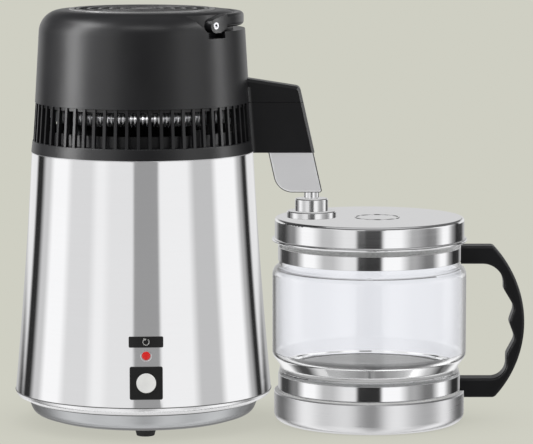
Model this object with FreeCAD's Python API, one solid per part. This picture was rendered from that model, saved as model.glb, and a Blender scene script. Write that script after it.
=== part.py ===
"""Countertop water distiller: a steel boiler with a lift-off fan head, and a lidded glass jug beside it.

Millimetres, +Z up. The origin lies on the floor under the middle of the whole object, the jug stands
towards +X and the controls face -Y. The boiler and head are built about the boiler's own axis, the jug
and lid about the jug's own axis, and each is moved to its place when it is saved.
"""

import FreeCAD, Part
import math
import os

Vector = FreeCAD.Vector

# Boiler, from the floor up
foot_height = 5.0
foot_radius = 9.0
foot_circle = 78.0
foot_count = 3
pan_height = 16.9
pan_floor_radius = 84.0
pan_rim_inset = 1.9
pan_wall = 1.2
pan_recess_radius = 69.0
pan_recess = 4.0
ring_height = 8.4
ring_taper = 9.6
ring_lip = 0.5
ring_depth = 8.0
seam_groove = 0.6
shell_height = 211.4
shell_bottom_radius = 114.0
shell_top_radius = 98.2
shell_flare = 1.1
shell_wall = 0.8
shell_lip = 12.0
tank_radius = 87.0
tank_depth = 177.0
tank_wall = 0.8
tank_corner = 8.0

# Heater and what holds the boiler together
heater_radius = 54.0
heater_thickness = 5.0
element_circle = 42.0
element_radius = 4.0
element_gap_degrees = 60.0
element_leg = 10.0
thermostat_radius = 8.0
thermostat_height = 6.0
tie_circle = 61.0
tie_radius = 2.5
tie_count = 3
tie_nut_radius = 4.6
tie_nut_height = 3.2
terminal_length = 30.0
terminal_depth = 16.0
terminal_height = 12.0
terminal_offset = 30.0

# Controls on the boiler's front, which is set down turned a little towards the jug
front_turn = 3.3
switch_height = 51.75
switch_width = 28.6
switch_proud = 1.6
switch_corner = 1.6
switch_neck = 24.0
switch_neck_depth = 4.0
switch_body_depth = 13.0
switch_button_radius = 8.5
switch_button_proud = 0.9
switch_travel = 2.5
reset_height = 75.2
reset_button_radius = 3.85
reset_button_proud = 2.6
reset_bezel_radius = 4.9
reset_bezel_proud = 1.0
reset_shank_depth = 7.0
reset_travel = 1.5
cutout_radius = 8.0
cutout_plunger_radius = 1.5
label_height = 87.1
label_width = 29.9
label_depth = 9.6
label_thickness = 0.5
label_corner = 1.2

# Sockets on the boiler's back and the cable gland of the head
inlet_height = 52.0
inlet_width = 31.0
inlet_tall = 24.0
inlet_proud = 1.6
inlet_mouth_width = 24.6
inlet_mouth_tall = 16.6
inlet_wall = 1.7
inlet_depth = 17.0
inlet_floor = 2.0
inlet_pin_width = 2.0
inlet_pin_tall = 4.0
inlet_pin_spacing = 7.0
inlet_pin_recess = 5.0
inlet_pin_tail = 5.0
socket_height = 214.0
socket_radius = 7.5
socket_flange_radius = 9.5
socket_proud = 2.0
socket_depth = 7.5
socket_bore = 5.2
socket_bore_depth = 6.5
gland_radius = 3.4
gland_length = 11.0
gland_bore = 1.8

# Head: vent ring, tray and cover
flange_height = 10.0
flange_bottom_radius = 98.7
flange_top_radius = 97.5
slat_height = 33.5
slat_count = 60
slat_width = 2.6
slat_depth = 3.6
slat_recess = 0.5
collar_radius = 90.0
collar_wall = 3.0
collar_height = 10.0
clip_azimuth = -55.0
clip_width = 14.0
clip_height = 14.5
seal_height = 3.0
seal_width = 3.2
tray_wall = 0.8
tray_rim_height = 8.0
vent_top_ring = 2.5
post_circle = 87.5
post_radius = 3.8
post_count = 4
post_azimuth = 45.0
cover_bottom_radius = 95.1
cover_top_radius = 90.2
cover_height = 81.8
cover_wall = 2.5
cover_shoulder = 20.0
cover_seam = 0.3
grille_radius = 64.3
grille_recess = 1.8
grille_seat = 6.0
grille_seat_depth = 3.0
grille_ring_width = 2.4
grille_ring_pitch = 9.7
grille_ring_count = 6
grille_spoke_width = 2.2
grille_spoke_count = 12
grille_hub_radius = 6.5
grille_thickness = 2.8

# Carry handle: a half ring that folds down on a ledge round the cover's rear right half
handle_azimuth = -42.2
handle_inner_radius = 81.8
handle_outer_radius = 90.0
handle_thickness = 11.6
handle_drop = 2.0
handle_edge = 3.4
handle_boss_radius = 6.3
handle_boss_blend = 15.0
hinge_drop = 11.2
ledge_drop = 16.6
ledge_wall_gap = 1.3
pocket_back = 10.5
pocket_lean = 43.0
notch_back = 10.5
notch_front = 10.5
notch_depth = 5.6
pin_radius = 2.5
pin_head_radius = 3.15
pin_head = 1.2
pin_bore = 1.5
pin_root = 10.0

# Fan
fan_radius = 55.0
fan_hub_radius = 19.0
fan_hub_height = 16.0
fan_blade_count = 7
fan_blade_thickness = 1.8
fan_blade_pitch = 32.0
fan_grille_gap = 6.0
fan_shaft_radius = 2.0
motor_radius = 21.0
motor_height = 24.0
motor_shaft_gap = 2.0
bracket_thickness = 1.6
bracket_arm_width = 12.0
bracket_boss_circle = 80.0
bracket_boss_radius = 4.5
bracket_count = 4

# Condenser: a spiral of half circles
tube_radius = 4.5
tube_wall = 1.0
coil_radius = 76.0
coil_pitch = 18.0
coil_drop = 9.0
coil_riser_bend = 20.0
coil_exit_degrees = 16.0
fin_radius = 7.2
fin_thickness = 0.8
fin_front_step = 2.4
fin_back_step = 6.0
riser_nut_radius = 8.0
riser_nut_height = 5.0
union_radius = 7.5
union_length = 12.0
spreader_radius = 49.0
spreader_waist = 46.0
spreader_top_round = 16.0
spreader_flange = 4.0
spreader_wall = 1.6
spreader_rise = 41.0

# Spout arm, nozzle and outlet
arm_half_width = 11.5
arm_wall = 2.4
arm_bevel = 2.4
arm_tip_round = 5.0
arm_root_fillet = 4.0
arm_root_height = 64.2
arm_tip_height = 57.2
arm_sag = 1.1
arm_tip_setback = 10.5
arm_toe = 2.5
outlet_bend = 24.0
outlet_kink = 26.9
outlet_end_gap = 0.5
outlet_sleeve_radius = 6.65
outlet_sleeve_length = 8.2
nozzle_half_width = 9.2
nozzle_wall = 0.8
nozzle_setback = 1.0
nozzle_collar_gap = 5.8
nozzle_back = 40.0
nozzle_back_lean = 8.0
nozzle_heel_radius = 17.0
nozzle_toe_radius = 2.0
nozzle_edge = 2.0
nozzle_spigot = 6.0

# Jug, about its own axis
jug_gap = 2.5
jug_base_radius = 84.9
jug_base_height = 27.7
jug_base_corner = 8.0
jug_steel = 0.8
jug_base_lip = 3.5
jug_foot_radius = 80.4
jug_foot_bottom = 28.6
jug_floor_height = 48.5
jug_floor_round = 2.0
jug_pinch_radius = 78.8
jug_pinch_height = 49.5
jug_bulge_radius = 86.4
jug_bulge_bottom = 57.0
jug_bulge_top = 137.0
jug_bulge_round = 9.0
jug_neck_radius = 80.6
jug_neck_bottom = 141.0
jug_rim_height = 164.0
glass_wall = 2.6
band_wall = 0.8
upper_band_low = 145.0
upper_band_high = 157.0
lower_band_low = 29.8
lower_band_high = 42.7
base_disc_radius = 68.0
base_disc_thickness = 0.8
insert_wall = 2.0

# Jug handle, radii from the jug's axis
grip_arc_radius = 99.0
grip_reach = 138.1
grip_middle = 89.0
grip_top = 157.9
grip_bottom = 21.7
grip_inner_top = 141.9
grip_inner_bottom = 38.8
grip_knuckle = 119.6
grip_heel = 122.3
grip_web_top = 19.0
grip_web_bottom = 14.0
grip_half_width = 11.0
grip_edge = 2.6
grip_corner = 5.0
lug_rise = 4.0
lug_length = 15.0
lug_half_width = 6.0
lug_thickness = 3.0
grip_screw_radius = 2.0
grip_screw_head = 3.6
grip_screw_reach = 3.4

# Lid and filter cup, radii from the jug's axis
lid_radius = 84.4
lid_top_height = 183.0
lid_edge = 2.5
lid_bead_radius = 86.9
lid_bead_bottom = 162.0
lid_bead_height = 2.5
lid_steel = 0.8
lid_mark_radius = 20.0
lid_mark_offset = 8.1
lid_mark_azimuth = -34.5
lid_mark_width = 1.2
lid_mark_rise = 0.7
plug_neck_gap = 3.5
plug_bottom = 152.0
plug_flange = 2.4
plug_wall = 2.4
lid_seal_height = 6.0
filter_edge_gap = 5.4
filter_flange_radius = 22.0
filter_flange_height = 5.8
filter_collar_radius = 14.65
filter_collar_height = 11.0
filter_bore = 5.5
pod_radius = 11.0
pod_bottom = 148.0
pod_wall = 1.2
pod_nut_radius = 15.0
pod_nut_height = 4.0

# Clearances
running_gap = 0.06
body_gap = 0.3
seat_gap = 0.1
screw_radius = 1.5
screw_head_radius = 2.8
screw_head_height = 2.0

# Heights that follow
pan_bottom = foot_height
ring_bottom = pan_bottom + pan_height
shell_bottom = ring_bottom + ring_height
shell_top = shell_bottom + shell_height
rim_top = shell_top + tank_wall
tank_floor = rim_top - tank_depth
heater_top = tank_floor - tank_wall
heater_bottom = heater_top - heater_thickness
pan_deck = pan_bottom + pan_recess
head_bottom = rim_top
arm_bottom = head_bottom - arm_sag
flange_top = head_bottom + flange_height
vent_top = flange_top + slat_height
cover_top = vent_top + cover_height
tray_bottom = head_bottom + seal_height
coil_height = vent_top - coil_drop
hinge_height = cover_top - hinge_drop
ledge_height = cover_top - ledge_drop
handle_bottom = hinge_height - handle_drop
handle_top = handle_bottom + handle_thickness
notch_bottom = ledge_height - notch_depth
grille_top = cover_top - grille_recess + grille_thickness
fan_top = cover_top - grille_recess - grille_seat_depth - fan_grille_gap
fan_bottom = fan_top - fan_hub_height
motor_top = fan_bottom - motor_shaft_gap
filter_flange_top = lid_top_height + filter_flange_height
filter_collar_top = filter_flange_top + filter_collar_height
outlet_end_height = filter_collar_top + outlet_end_gap
nozzle_bottom_height = filter_collar_top + nozzle_collar_gap

# Widths that follow
ring_top_radius = shell_bottom_radius + ring_lip
ring_bottom_radius = ring_top_radius - ring_taper
pan_rim_radius = ring_bottom_radius - pan_rim_inset
glass_neck_inner = jug_neck_radius - glass_wall
plug_radius = glass_neck_inner - plug_neck_gap
plug_top_radius = glass_neck_inner
filter_offset = plug_radius - plug_wall - pod_nut_radius - filter_edge_gap
jug_distance = ring_top_radius + jug_gap + jug_base_radius
spout_reach = jug_distance - filter_offset
overall_length = ring_top_radius + jug_distance + grip_reach
boiler_x = ring_top_radius - overall_length / 2
jug_x = boiler_x + jug_distance
ledge_inner_radius = handle_inner_radius - ledge_wall_gap

ORIGIN = Vector(0, 0, 0)
UP = Vector(0, 0, 1)
ALONG_X = Vector(1, 0, 0)
TINY = 1e-6


# Shared shapes

def upright(across, height):
    """A point of an outline that stands in the XZ plane."""
    return Vector(across, 0, height)


def level(across, along):
    """A point of an outline that lies in the XY plane."""
    return Vector(across, along, 0)


def sideways(along, height):
    """A point of an outline that stands in the YZ plane."""
    return Vector(0, along, height)


def rounded_edges(corners, place, closed=True):
    """Lines through corners (a, b) or (a, b, radius), where a radius rounds that corner."""
    spots = [place(corner[0], corner[1]) for corner in corners]
    stretches = []
    for index, corner in enumerate(corners):
        here = spots[index]
        if len(corner) < 3:
            stretches.append((here, None, here))
            continue
        back = (spots[index - 1] - here).normalize()
        ahead = (spots[(index + 1) % len(spots)] - here).normalize()
        half_angle = back.getAngle(ahead) / 2
        run = corner[2] / math.tan(half_angle)
        bulge = corner[2] / math.sin(half_angle) - corner[2]
        middle = here + (back + ahead).normalize() * bulge
        stretches.append((here + back * run, middle, here + ahead * run))
    edges = []
    for index, (start, middle, finish) in enumerate(stretches):
        if middle is not None:
            edges.append(Part.Arc(start, middle, finish).toShape())
        following = stretches[(index + 1) % len(stretches)][0]
        last = index == len(stretches) - 1 and not closed
        if not last and (following - finish).Length > TINY:
            edges.append(Part.makeLine(finish, following))
    return edges


def outline(corners, place):
    """Closed wire through corners, some of them rounded."""
    return Part.Wire(rounded_edges(corners, place))


def turned(corners, degrees=360.0, first=0.0):
    """Solid of revolution about Z, of an outline given as (radius, height)."""
    solid = Part.Face(outline(corners, upright)).revolve(ORIGIN, UP, degrees)
    return spun(solid, first)


def slab(corners, low, high):
    """A level outline raised from one height to another."""
    face = Part.Face(outline(corners, level))
    face.translate(Vector(0, 0, low))
    return face.extrude(Vector(0, 0, high - low))


def wall_slab(corners, near, far):
    """An XZ outline drawn out along Y."""
    face = Part.Face(outline(corners, upright))
    face.translate(Vector(0, near, 0))
    return face.extrude(Vector(0, far - near, 0))


def end_slab(corners, near, far):
    """A YZ outline drawn out along X."""
    face = Part.Face(outline(corners, sideways))
    face.translate(Vector(near, 0, 0))
    return face.extrude(Vector(far - near, 0, 0))


def block(x_low, x_high, y_low, y_high, z_low, z_high):
    """A plain block between two corners."""
    return Part.makeBox(x_high - x_low, y_high - y_low, z_high - z_low, Vector(x_low, y_low, z_low))


def rod(radius, low, high, x=0.0, y=0.0):
    """An upright cylinder."""
    return Part.makeCylinder(radius, high - low, Vector(x, y, low), UP)


def pipe_ring(outer, inner, low, high, x=0.0, y=0.0):
    """An upright tube."""
    return rod(outer, low, high, x, y).cut(rod(inner, low - 1, high + 1, x, y))


def spoke(radius, near, far, height, azimuth=0.0):
    """A cylinder that runs outwards from the Z axis."""
    return spun(Part.makeCylinder(radius, far - near, Vector(near, 0, height), ALONG_X), azimuth)


def spun(shape, degrees):
    """A copy turned about the Z axis."""
    copy = shape.copy()
    copy.rotate(ORIGIN, UP, degrees)
    return copy


def ring_of(shape, count, first=0.0):
    """Copies evenly spaced round the Z axis."""
    return [spun(shape, first + index * 360.0 / count) for index in range(count)]


def joined(shapes):
    """One solid from several that overlap."""
    return shapes[0].multiFuse(shapes[1:]).removeSplitter()


def hex_corners(radius, x=0.0, y=0.0):
    """Corners of a hexagon, for nuts."""
    turns = [math.radians(60 * index) for index in range(6)]
    return [(x + radius * math.cos(turn), y + radius * math.sin(turn)) for turn in turns]


def square_corners(half_width, half_height, corner, middle=0.0):
    """Corners of a rounded rectangle about (0, middle)."""
    signs = [(-1, -1), (1, -1), (1, 1), (-1, 1)]
    return [(side * half_width, middle + level_sign * half_height, corner) for side, level_sign in signs]


def piped(edges, radius, start, heading):
    """A round bar along joined edges."""
    section = Part.Wire(Part.makeCircle(radius, start, heading))
    return Part.Wire(edges).makePipeShell([section], True, False)


def hollow_pipe(edges, radius, wall, start, heading):
    """A round tube along joined edges."""
    return piped(edges, radius, start, heading).cut(piped(edges, radius - wall, start, heading))


def arc_about(x, radius, height, first, middle, last):
    """A level arc about (x, 0), between two azimuths by way of a third."""
    points = []
    for azimuth in (first, middle, last):
        turn = math.radians(azimuth)
        points.append(Vector(x + radius * math.cos(turn), radius * math.sin(turn), height))
    return Part.Arc(*points).toShape()


def save(name, shape, x):
    """Write one piece, or one group of like pieces, moved to its own axis."""
    if isinstance(shape, list):
        shape = Part.Compound(shape)
    placed = shape.copy()
    placed.translate(Vector(x, 0, 0))
    placed.exportStep("parts/" + name + ".step")


# Boiler shell and what sits on its wall

def shell_radius_at(height):
    """Radius of the shell's outside at a height."""
    part_way = (height - shell_bottom) / shell_height
    straight = shell_bottom_radius + (shell_top_radius - shell_bottom_radius) * part_way
    return straight - 4 * shell_flare * part_way * (1 - part_way)


def shell_form(inset):
    """The shell's outside as one filled solid, drawn in by an inset."""
    low_edge = upright(shell_bottom_radius - inset, shell_bottom)
    high_edge = upright(shell_top_radius - inset, shell_top)
    wall = Part.BezierCurve()
    wall.setPoles([low_edge, (low_edge + high_edge) / 2 - ALONG_X * (2 * shell_flare), high_edge])
    sides = [
        Part.makeLine(upright(0, shell_bottom), low_edge),
        wall.toShape(),
        Part.makeLine(high_edge, upright(0, shell_top)),
        Part.makeLine(upright(0, shell_top), upright(0, shell_bottom)),
    ]
    return Part.Face(Part.Wire(sides)).revolve(ORIGIN, UP, 360)


def wall_lean():
    """Degrees by which the shell's wall leans in near the controls."""
    rise = 10.0
    run = shell_radius_at(switch_height) - shell_radius_at(switch_height + rise)
    return math.degrees(math.atan(run / rise))


def on_wall(shape, height, azimuth):
    """Set a piece on the shell. It is drawn facing -Y, with y = 0 at the wall and its middle at z = 0."""
    placed = shape.copy()
    placed.rotate(ORIGIN, ALONG_X, -wall_lean())
    placed.translate(Vector(0, -shell_radius_at(height), height))
    return spun(placed, azimuth)


def on_front(shape, height):
    """Set a piece on the front of the shell."""
    return on_wall(shape, height, front_turn)


def on_back(shape, height):
    """Set a piece on the back of the shell."""
    return on_wall(shape, height, 180 + front_turn)


def facing(radius, near, far):
    """A cylinder that faces -Y, from y = near to y = far."""
    return Part.makeCylinder(radius, far - near, Vector(0, near, 0), Vector(0, 1, 0))


def square_plug(width, height, corner, near, far):
    """A rounded block that faces -Y."""
    return wall_slab(square_corners(width / 2, height / 2, corner), near, far)


def boiler_shell():
    """Outer steel skin: a flared cone with a lip at each end and the openings for what it carries."""
    room = shell_form(shell_wall).common(
        rod(shell_bottom_radius, shell_bottom + shell_wall, shell_top - shell_wall))
    skin = shell_form(0).cut(room)
    skin = skin.cut(rod(shell_bottom_radius - shell_lip, shell_bottom - 1, shell_bottom + 2))
    skin = skin.cut(rod(tank_radius + tank_wall + body_gap, shell_top - 2, shell_top + 1))
    reach = 12.0
    openings = [
        on_front(square_plug(switch_neck + 2 * seat_gap, switch_neck + 2 * seat_gap, switch_corner,
                             -reach, reach), switch_height),
        on_front(facing(reset_bezel_shank_radius() + seat_gap, -reach, reach), reset_height),
        on_back(square_plug(inlet_body_width() + 2 * seat_gap, inlet_body_tall() + 2 * seat_gap,
                            switch_corner, -reach, reach), inlet_height),
        on_back(facing(socket_radius + seat_gap, -reach, reach), socket_height),
    ]
    for opening in openings:
        skin = skin.cut(opening)
    return skin


def reset_bezel_shank_radius():
    """Outside of the threaded shank behind the reset bezel."""
    return reset_bezel_radius - 0.5


def inlet_body_width():
    """Width of the power inlet behind its flange."""
    return inlet_mouth_width + 2 * inlet_wall


def inlet_body_tall():
    """Height of the power inlet behind its flange."""
    return inlet_mouth_tall + 2 * inlet_wall


def inner_tank():
    """Boiling chamber: a deep drawn cup whose rim lies on the shell."""
    rim = shell_top_radius - seat_gap
    return turned([
        (0, heater_top),
        (tank_radius + tank_wall, heater_top, tank_corner + tank_wall),
        (tank_radius + tank_wall, shell_top),
        (rim, shell_top),
        (rim, rim_top),
        (tank_radius, rim_top),
        (tank_radius, tank_floor, tank_corner),
        (0, tank_floor),
    ])


def base_ring():
    """Trim ring between the shell and the base pan, with a groove under the shell's edge."""
    mid_height = ring_bottom + 0.45 * ring_height
    return turned([
        (ring_bottom_radius, ring_bottom),
        (ring_top_radius - 1.9, mid_height, 5.0),
        (ring_top_radius, shell_bottom - seam_groove),
        (shell_bottom_radius - 1.4, shell_bottom - seam_groove),
        (shell_bottom_radius - 1.4, shell_bottom),
        (ring_top_radius - ring_depth, shell_bottom),
        (ring_bottom_radius - ring_depth / 2, ring_bottom),
    ])


def base_pan():
    """Dished bottom cover, with a raised middle over the tie nuts."""
    knee_radius = (pan_floor_radius + pan_rim_radius) / 2 + 4.5
    knee_height = pan_bottom + 0.27 * pan_height
    pan = turned([
        (0, pan_deck),
        (pan_recess_radius, pan_deck, 1.5),
        (pan_recess_radius + pan_recess, pan_bottom, 1.5),
        (pan_floor_radius, pan_bottom, 12.0),
        (knee_radius, knee_height, 10.0),
        (pan_rim_radius, ring_bottom),
        (pan_rim_radius - 2 * pan_wall, ring_bottom),
        (knee_radius - pan_wall, knee_height + pan_wall, 10.0),
        (pan_floor_radius - pan_wall, pan_bottom + pan_wall, 12.0),
        (pan_recess_radius + pan_recess, pan_bottom + pan_wall, 1.5),
        (pan_recess_radius, pan_deck + pan_wall, 1.5),
        (0, pan_deck + pan_wall),
    ])
    for hole in ring_of(rod(tie_radius + seat_gap, pan_bottom, ring_bottom, tie_circle), tie_count, 30):
        pan = pan.cut(hole)
    hole = rod(screw_radius + seat_gap, 0, ring_bottom, foot_circle)
    for hole in ring_of(hole, foot_count, 270 + front_turn):
        pan = pan.cut(hole)
    return pan


def rubber_feet():
    """Feet with a recess for their screws."""
    foot = turned([
        (0, 0),
        (foot_radius - 1.2, 0, 1.0),
        (foot_radius, foot_height),
        (0, foot_height),
    ])
    foot = foot.cut(rod(screw_head_radius + seat_gap, -1, screw_head_height + 1))
    foot = foot.cut(rod(screw_radius + seat_gap, -1, foot_height + 1))
    foot.translate(Vector(foot_circle, 0, 0))
    return ring_of(foot, foot_count, 270 + front_turn)


def foot_screws():
    """Screws that hold the feet to the pan."""
    head = rod(screw_head_radius, 1, screw_head_height + 1, foot_circle)
    shank = rod(screw_radius, screw_head_height, pan_bottom + pan_wall + 2, foot_circle)
    return ring_of(joined([head, shank]), foot_count, 270 + front_turn)


def tie_rods():
    """Studs welded under the tank, which pull tank, shell, ring and pan together."""
    stud = rod(tie_radius, pan_deck - tie_nut_height - 0.4, heater_top, tie_circle)
    return ring_of(stud, tie_count, 30)


def tie_nuts():
    """Nuts under the raised middle of the pan."""
    nut = slab(hex_corners(tie_nut_radius, tie_circle), pan_deck - tie_nut_height, pan_deck)
    nut = nut.cut(rod(tie_radius + running_gap, 0, pan_deck + 1, tie_circle))
    return ring_of(nut, tie_count, 30)


def heater_plate():
    """Aluminium disc brazed under the tank."""
    return turned([
        (0, heater_bottom),
        (heater_radius, heater_bottom, 1.0),
        (heater_radius, heater_top),
        (0, heater_top),
    ])


def heating_element():
    """Tubular element on the heater plate, with its two ends turned down."""
    height = heater_bottom - element_radius
    half_gap = element_gap_degrees / 2
    bend = 2 * element_radius
    edges = []
    first = math.radians(90 + half_gap)
    last = math.radians(90 - half_gap)
    starts = [
        Vector(element_circle * math.cos(first), element_circle * math.sin(first), height),
        Vector(element_circle * math.cos(last), element_circle * math.sin(last), height),
    ]
    headings = [Vector(math.sin(first), -math.cos(first), 0), Vector(-math.sin(last), math.cos(last), 0)]
    legs = []
    for start, heading in zip(starts, headings):
        corner = start + heading * bend
        middle = start + heading * (bend * math.sin(math.pi / 4)) - UP * (bend * (1 - math.cos(math.pi / 4)))
        finish = corner - UP * bend
        tail = finish - UP * element_leg
        legs.append((Part.Arc(start, middle, finish).toShape(), Part.makeLine(finish, tail), tail))
    edges.append(Part.makeLine(legs[0][2], legs[0][2] + UP * element_leg))
    edges.append(legs[0][0])
    edges.append(arc_about(0, element_circle, height, 90 + half_gap, 270, 90 - half_gap))
    edges.append(legs[1][0])
    edges.append(legs[1][1])
    return piped(edges, element_radius, legs[0][2], UP)


def thermostat():
    """Disc thermostat under the middle of the heater plate."""
    body = rod(thermostat_radius, heater_bottom - thermostat_height, heater_bottom)
    tabs = block(-thermostat_radius - 4, thermostat_radius + 4, -2, 2,
                 heater_bottom - thermostat_height + 1, heater_bottom - thermostat_height + 2)
    return joined([body, tabs])


def terminal_block():
    """Block on the pan that the wires meet in."""
    low = pan_deck + pan_wall
    body = block(-terminal_length / 2, terminal_length / 2, -terminal_depth / 2, terminal_depth / 2,
                 low, low + terminal_height)
    for index in (-1, 0, 1):
        body = body.cut(rod(2.4, low + 4, low + terminal_height + 1, index * terminal_length / 3.4, 0))
    body.translate(Vector(0, terminal_offset, 0))
    return spun(body, front_turn)


def switch_frame():
    """Square plate round the power button, its back cut to the shell's curve."""
    plate = square_plug(switch_width, switch_width, switch_corner, -switch_proud, switch_neck_depth)
    plate = plate.makeFillet(0.5, [edge for edge in plate.Edges if edge.BoundBox.YMax < -switch_proud + TINY])
    neck = square_plug(switch_neck, switch_neck, switch_corner, 0, switch_neck_depth)
    bore = facing(switch_button_radius + running_gap, -switch_proud - 1, switch_neck_depth + 1)
    plate = on_front(plate, switch_height).cut(shell_form(-seat_gap))
    neck = on_front(neck, switch_height)
    return plate.fuse(neck).cut(on_front(bore, switch_height)).removeSplitter()


def switch_button():
    """Round push button with a slightly dished face."""
    front = -switch_proud - switch_button_proud
    body = facing(switch_button_radius, front, switch_neck_depth - switch_travel - body_gap)
    body = body.makeFillet(0.6, [edge for edge in body.Edges if edge.BoundBox.YMax < front + TINY])
    dish_radius = 120.0
    dish = Part.makeSphere(dish_radius, Vector(0, front - dish_radius + 0.25, 0))
    return on_front(body.cut(dish), switch_height)


def switch_body():
    """Switch housing behind the frame, with its terminals."""
    near = switch_neck_depth
    far = near + switch_body_depth
    body = square_plug(switch_neck, switch_neck, switch_corner, near, far)
    tabs = [block(side * 6 - 0.4, side * 6 + 0.4, far, far + 4, -3, 3) for side in (-1, 1)]
    return on_front(joined([body] + tabs), switch_height)


def reset_bezel():
    """Threaded ring round the reset button."""
    flange = facing(reset_bezel_radius, -reset_bezel_proud, 0.2)
    flange = flange.makeFillet(0.35, [edge for edge in flange.Edges
                                      if edge.BoundBox.YMax < -reset_bezel_proud + TINY])
    shank = facing(reset_bezel_shank_radius(), 0, reset_shank_depth)
    bore = facing(reset_button_radius + running_gap, -reset_bezel_proud - 1, reset_shank_depth + 1)
    flange = on_front(flange, reset_height).cut(shell_form(-seat_gap))
    return flange.fuse(on_front(shank, reset_height)).cut(on_front(bore, reset_height)).removeSplitter()


def reset_button():
    """Domed push button that trips the cut-out back in."""
    front = -reset_button_proud
    body = facing(reset_button_radius, front, reset_shank_depth - reset_travel - body_gap)
    dome = 1.6
    body = body.makeFillet(dome, [edge for edge in body.Edges if edge.BoundBox.YMax < front + TINY])
    return on_front(body, reset_height)


def thermal_cutout():
    """Manual cut-out on the tank's wall, behind the reset button."""
    near = reset_shank_depth + 0.2
    far = shell_radius_at(reset_height) - tank_radius - tank_wall - 0.6
    body = facing(cutout_radius, near, far)
    plunger_room = facing(reset_button_radius, near - 1, near + 1)
    plunger = facing(cutout_plunger_radius, near - 0.5, near + 2)
    return on_front(joined([body.cut(plunger_room), plunger]), reset_height)


def label_plate():
    """Blank plate above the reset button, curved to the shell."""
    blank = square_plug(label_width, label_depth, label_corner, -5, 5)
    return on_front(blank, label_height).common(shell_form(-label_thickness)).cut(shell_form(-seat_gap))


def power_inlet():
    """Three-pin inlet on the back, with its mouth facing out."""
    flange = square_plug(inlet_width, inlet_tall, switch_corner, -inlet_proud, 2)
    flange = on_back(flange, inlet_height).cut(shell_form(-seat_gap))
    body = square_plug(inlet_body_width(), inlet_body_tall(), switch_corner, -0.5, inlet_depth)
    half_width = inlet_mouth_width / 2
    half_tall = inlet_mouth_tall / 2
    slope = 4.5
    mouth = wall_slab([
        (-half_width, -half_tall, 1.0),
        (half_width, -half_tall, 1.0),
        (half_width, half_tall - slope, 1.0),
        (half_width - slope, half_tall, 1.0),
        (-half_width + slope, half_tall, 1.0),
        (-half_width, half_tall - slope, 1.0),
    ], -inlet_proud - 1, inlet_depth - inlet_floor)
    inlet = flange.fuse(on_back(body, inlet_height)).cut(on_back(mouth, inlet_height))
    for blade in inlet_blades(seat_gap):
        inlet = inlet.cut(blade)
    return inlet.removeSplitter()


def inlet_blades(growth):
    """The inlet's three blades, or the slots for them."""
    half_width = inlet_pin_width / 2 + growth
    half_tall = inlet_pin_tall / 2 + growth
    blades = []
    for across, height in ((-inlet_pin_spacing, -2.0), (0.0, 2.0), (inlet_pin_spacing, -2.0)):
        blade = block(across - half_width, across + half_width, inlet_pin_recess,
                      inlet_depth + inlet_pin_tail, height - half_tall, height + half_tall)
        blades.append(on_back(blade, inlet_height))
    return blades


def inlet_pins():
    """The three blades of the power inlet."""
    return inlet_blades(0.0)


def fan_lead_socket():
    """Low-voltage socket near the top of the back, for the lead of the head's fan."""
    flange = facing(socket_flange_radius, -socket_proud, 2)
    flange = on_back(flange, socket_height).cut(shell_form(-seat_gap))
    body = facing(socket_radius, -0.5, socket_depth)
    bore = facing(socket_bore, -socket_proud - 1, socket_bore_depth - 1)
    socket = flange.fuse(on_back(body, socket_height)).cut(on_back(bore, socket_height))
    pin = facing(1.0, 3.5, socket_bore_depth)
    return socket.fuse(on_back(pin, socket_height)).removeSplitter()


# Head: ring, tray, seal and condenser

def cone_radius_at(height):
    """Outside of the head's side between the flange and the top of the cover's wall."""
    part_way = (height - vent_top) / (cover_top - vent_top)
    upper = cover_bottom_radius + (cover_top_radius - cover_bottom_radius) * part_way
    below = (height - flange_top) / slat_height
    lower = flange_top_radius + (cover_bottom_radius - flange_top_radius) * below
    return upper if height >= vent_top else lower


def arm_slab(inset, bevel=0.0):
    """Filled side view of the spout arm, drawn in by an inset and lowered by a bevel."""
    root_x = collar_radius - collar_wall
    slope = (arm_root_height - arm_tip_height) / (spout_reach - arm_tip_setback - cone_radius_at(vent_top))
    root_rise = slope * (cone_radius_at(vent_top) - root_x)
    fall = inset + bevel
    corners = [
        (root_x, arm_bottom + inset),
        (spout_reach + arm_toe - inset, arm_bottom + inset),
        (spout_reach - arm_tip_setback - inset, head_bottom + arm_tip_height - fall, arm_tip_round),
        (root_x, head_bottom + arm_root_height + root_rise - fall),
    ]
    half = arm_half_width - inset
    return wall_slab(corners, -half, half)


def arm_root_plan(height):
    """Top view of the arm's root at one height, with a fillet on each side."""
    reach = cone_radius_at(height) - 0.4
    corner_x = math.sqrt(reach ** 2 - arm_half_width ** 2)
    wing = 2.0 * arm_root_fillet
    wing_x = corner_x - wing * arm_half_width / corner_x
    root_x = collar_radius - collar_wall - 2
    side = arm_half_width + wing
    return [
        (corner_x + wing, -arm_half_width),
        (corner_x, -arm_half_width, arm_root_fillet),
        (wing_x, -side),
        (root_x, -side),
        (root_x, side),
        (wing_x, side),
        (corner_x, arm_half_width, arm_root_fillet),
        (corner_x + wing, arm_half_width),
    ]


def arm_root():
    """The arm's root with its fillets, up to the bevel."""
    wires = []
    for height in (arm_bottom, vent_top, cover_top):
        wire = outline(arm_root_plan(height), level)
        wire.translate(Vector(0, 0, height))
        wires.append(wire)
    tall = arm_slab(0.0, arm_bevel).BoundBox
    side = block(tall.XMin, tall.XMax, -100, 100, tall.ZMin, head_bottom + arm_tip_height)
    return Part.makeLoft(wires, True, True).common(side)


def arm_outside():
    """The arm's outer form with its long edges bevelled."""
    form = arm_slab(0.0)
    edges = []
    for edge in form.Edges:
        box = edge.BoundBox
        if box.YLength < TINY and box.ZMax > arm_bottom + TINY and box.XMax > collar_radius:
            edges.append(edge)
    return form.makeChamfer(arm_bevel, edges).fuse(arm_root())


def keep_above(shape, height):
    """What of a shape lies above a height."""
    return shape.common(block(-500, 500, -500, 500, height, height + 500))


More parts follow.
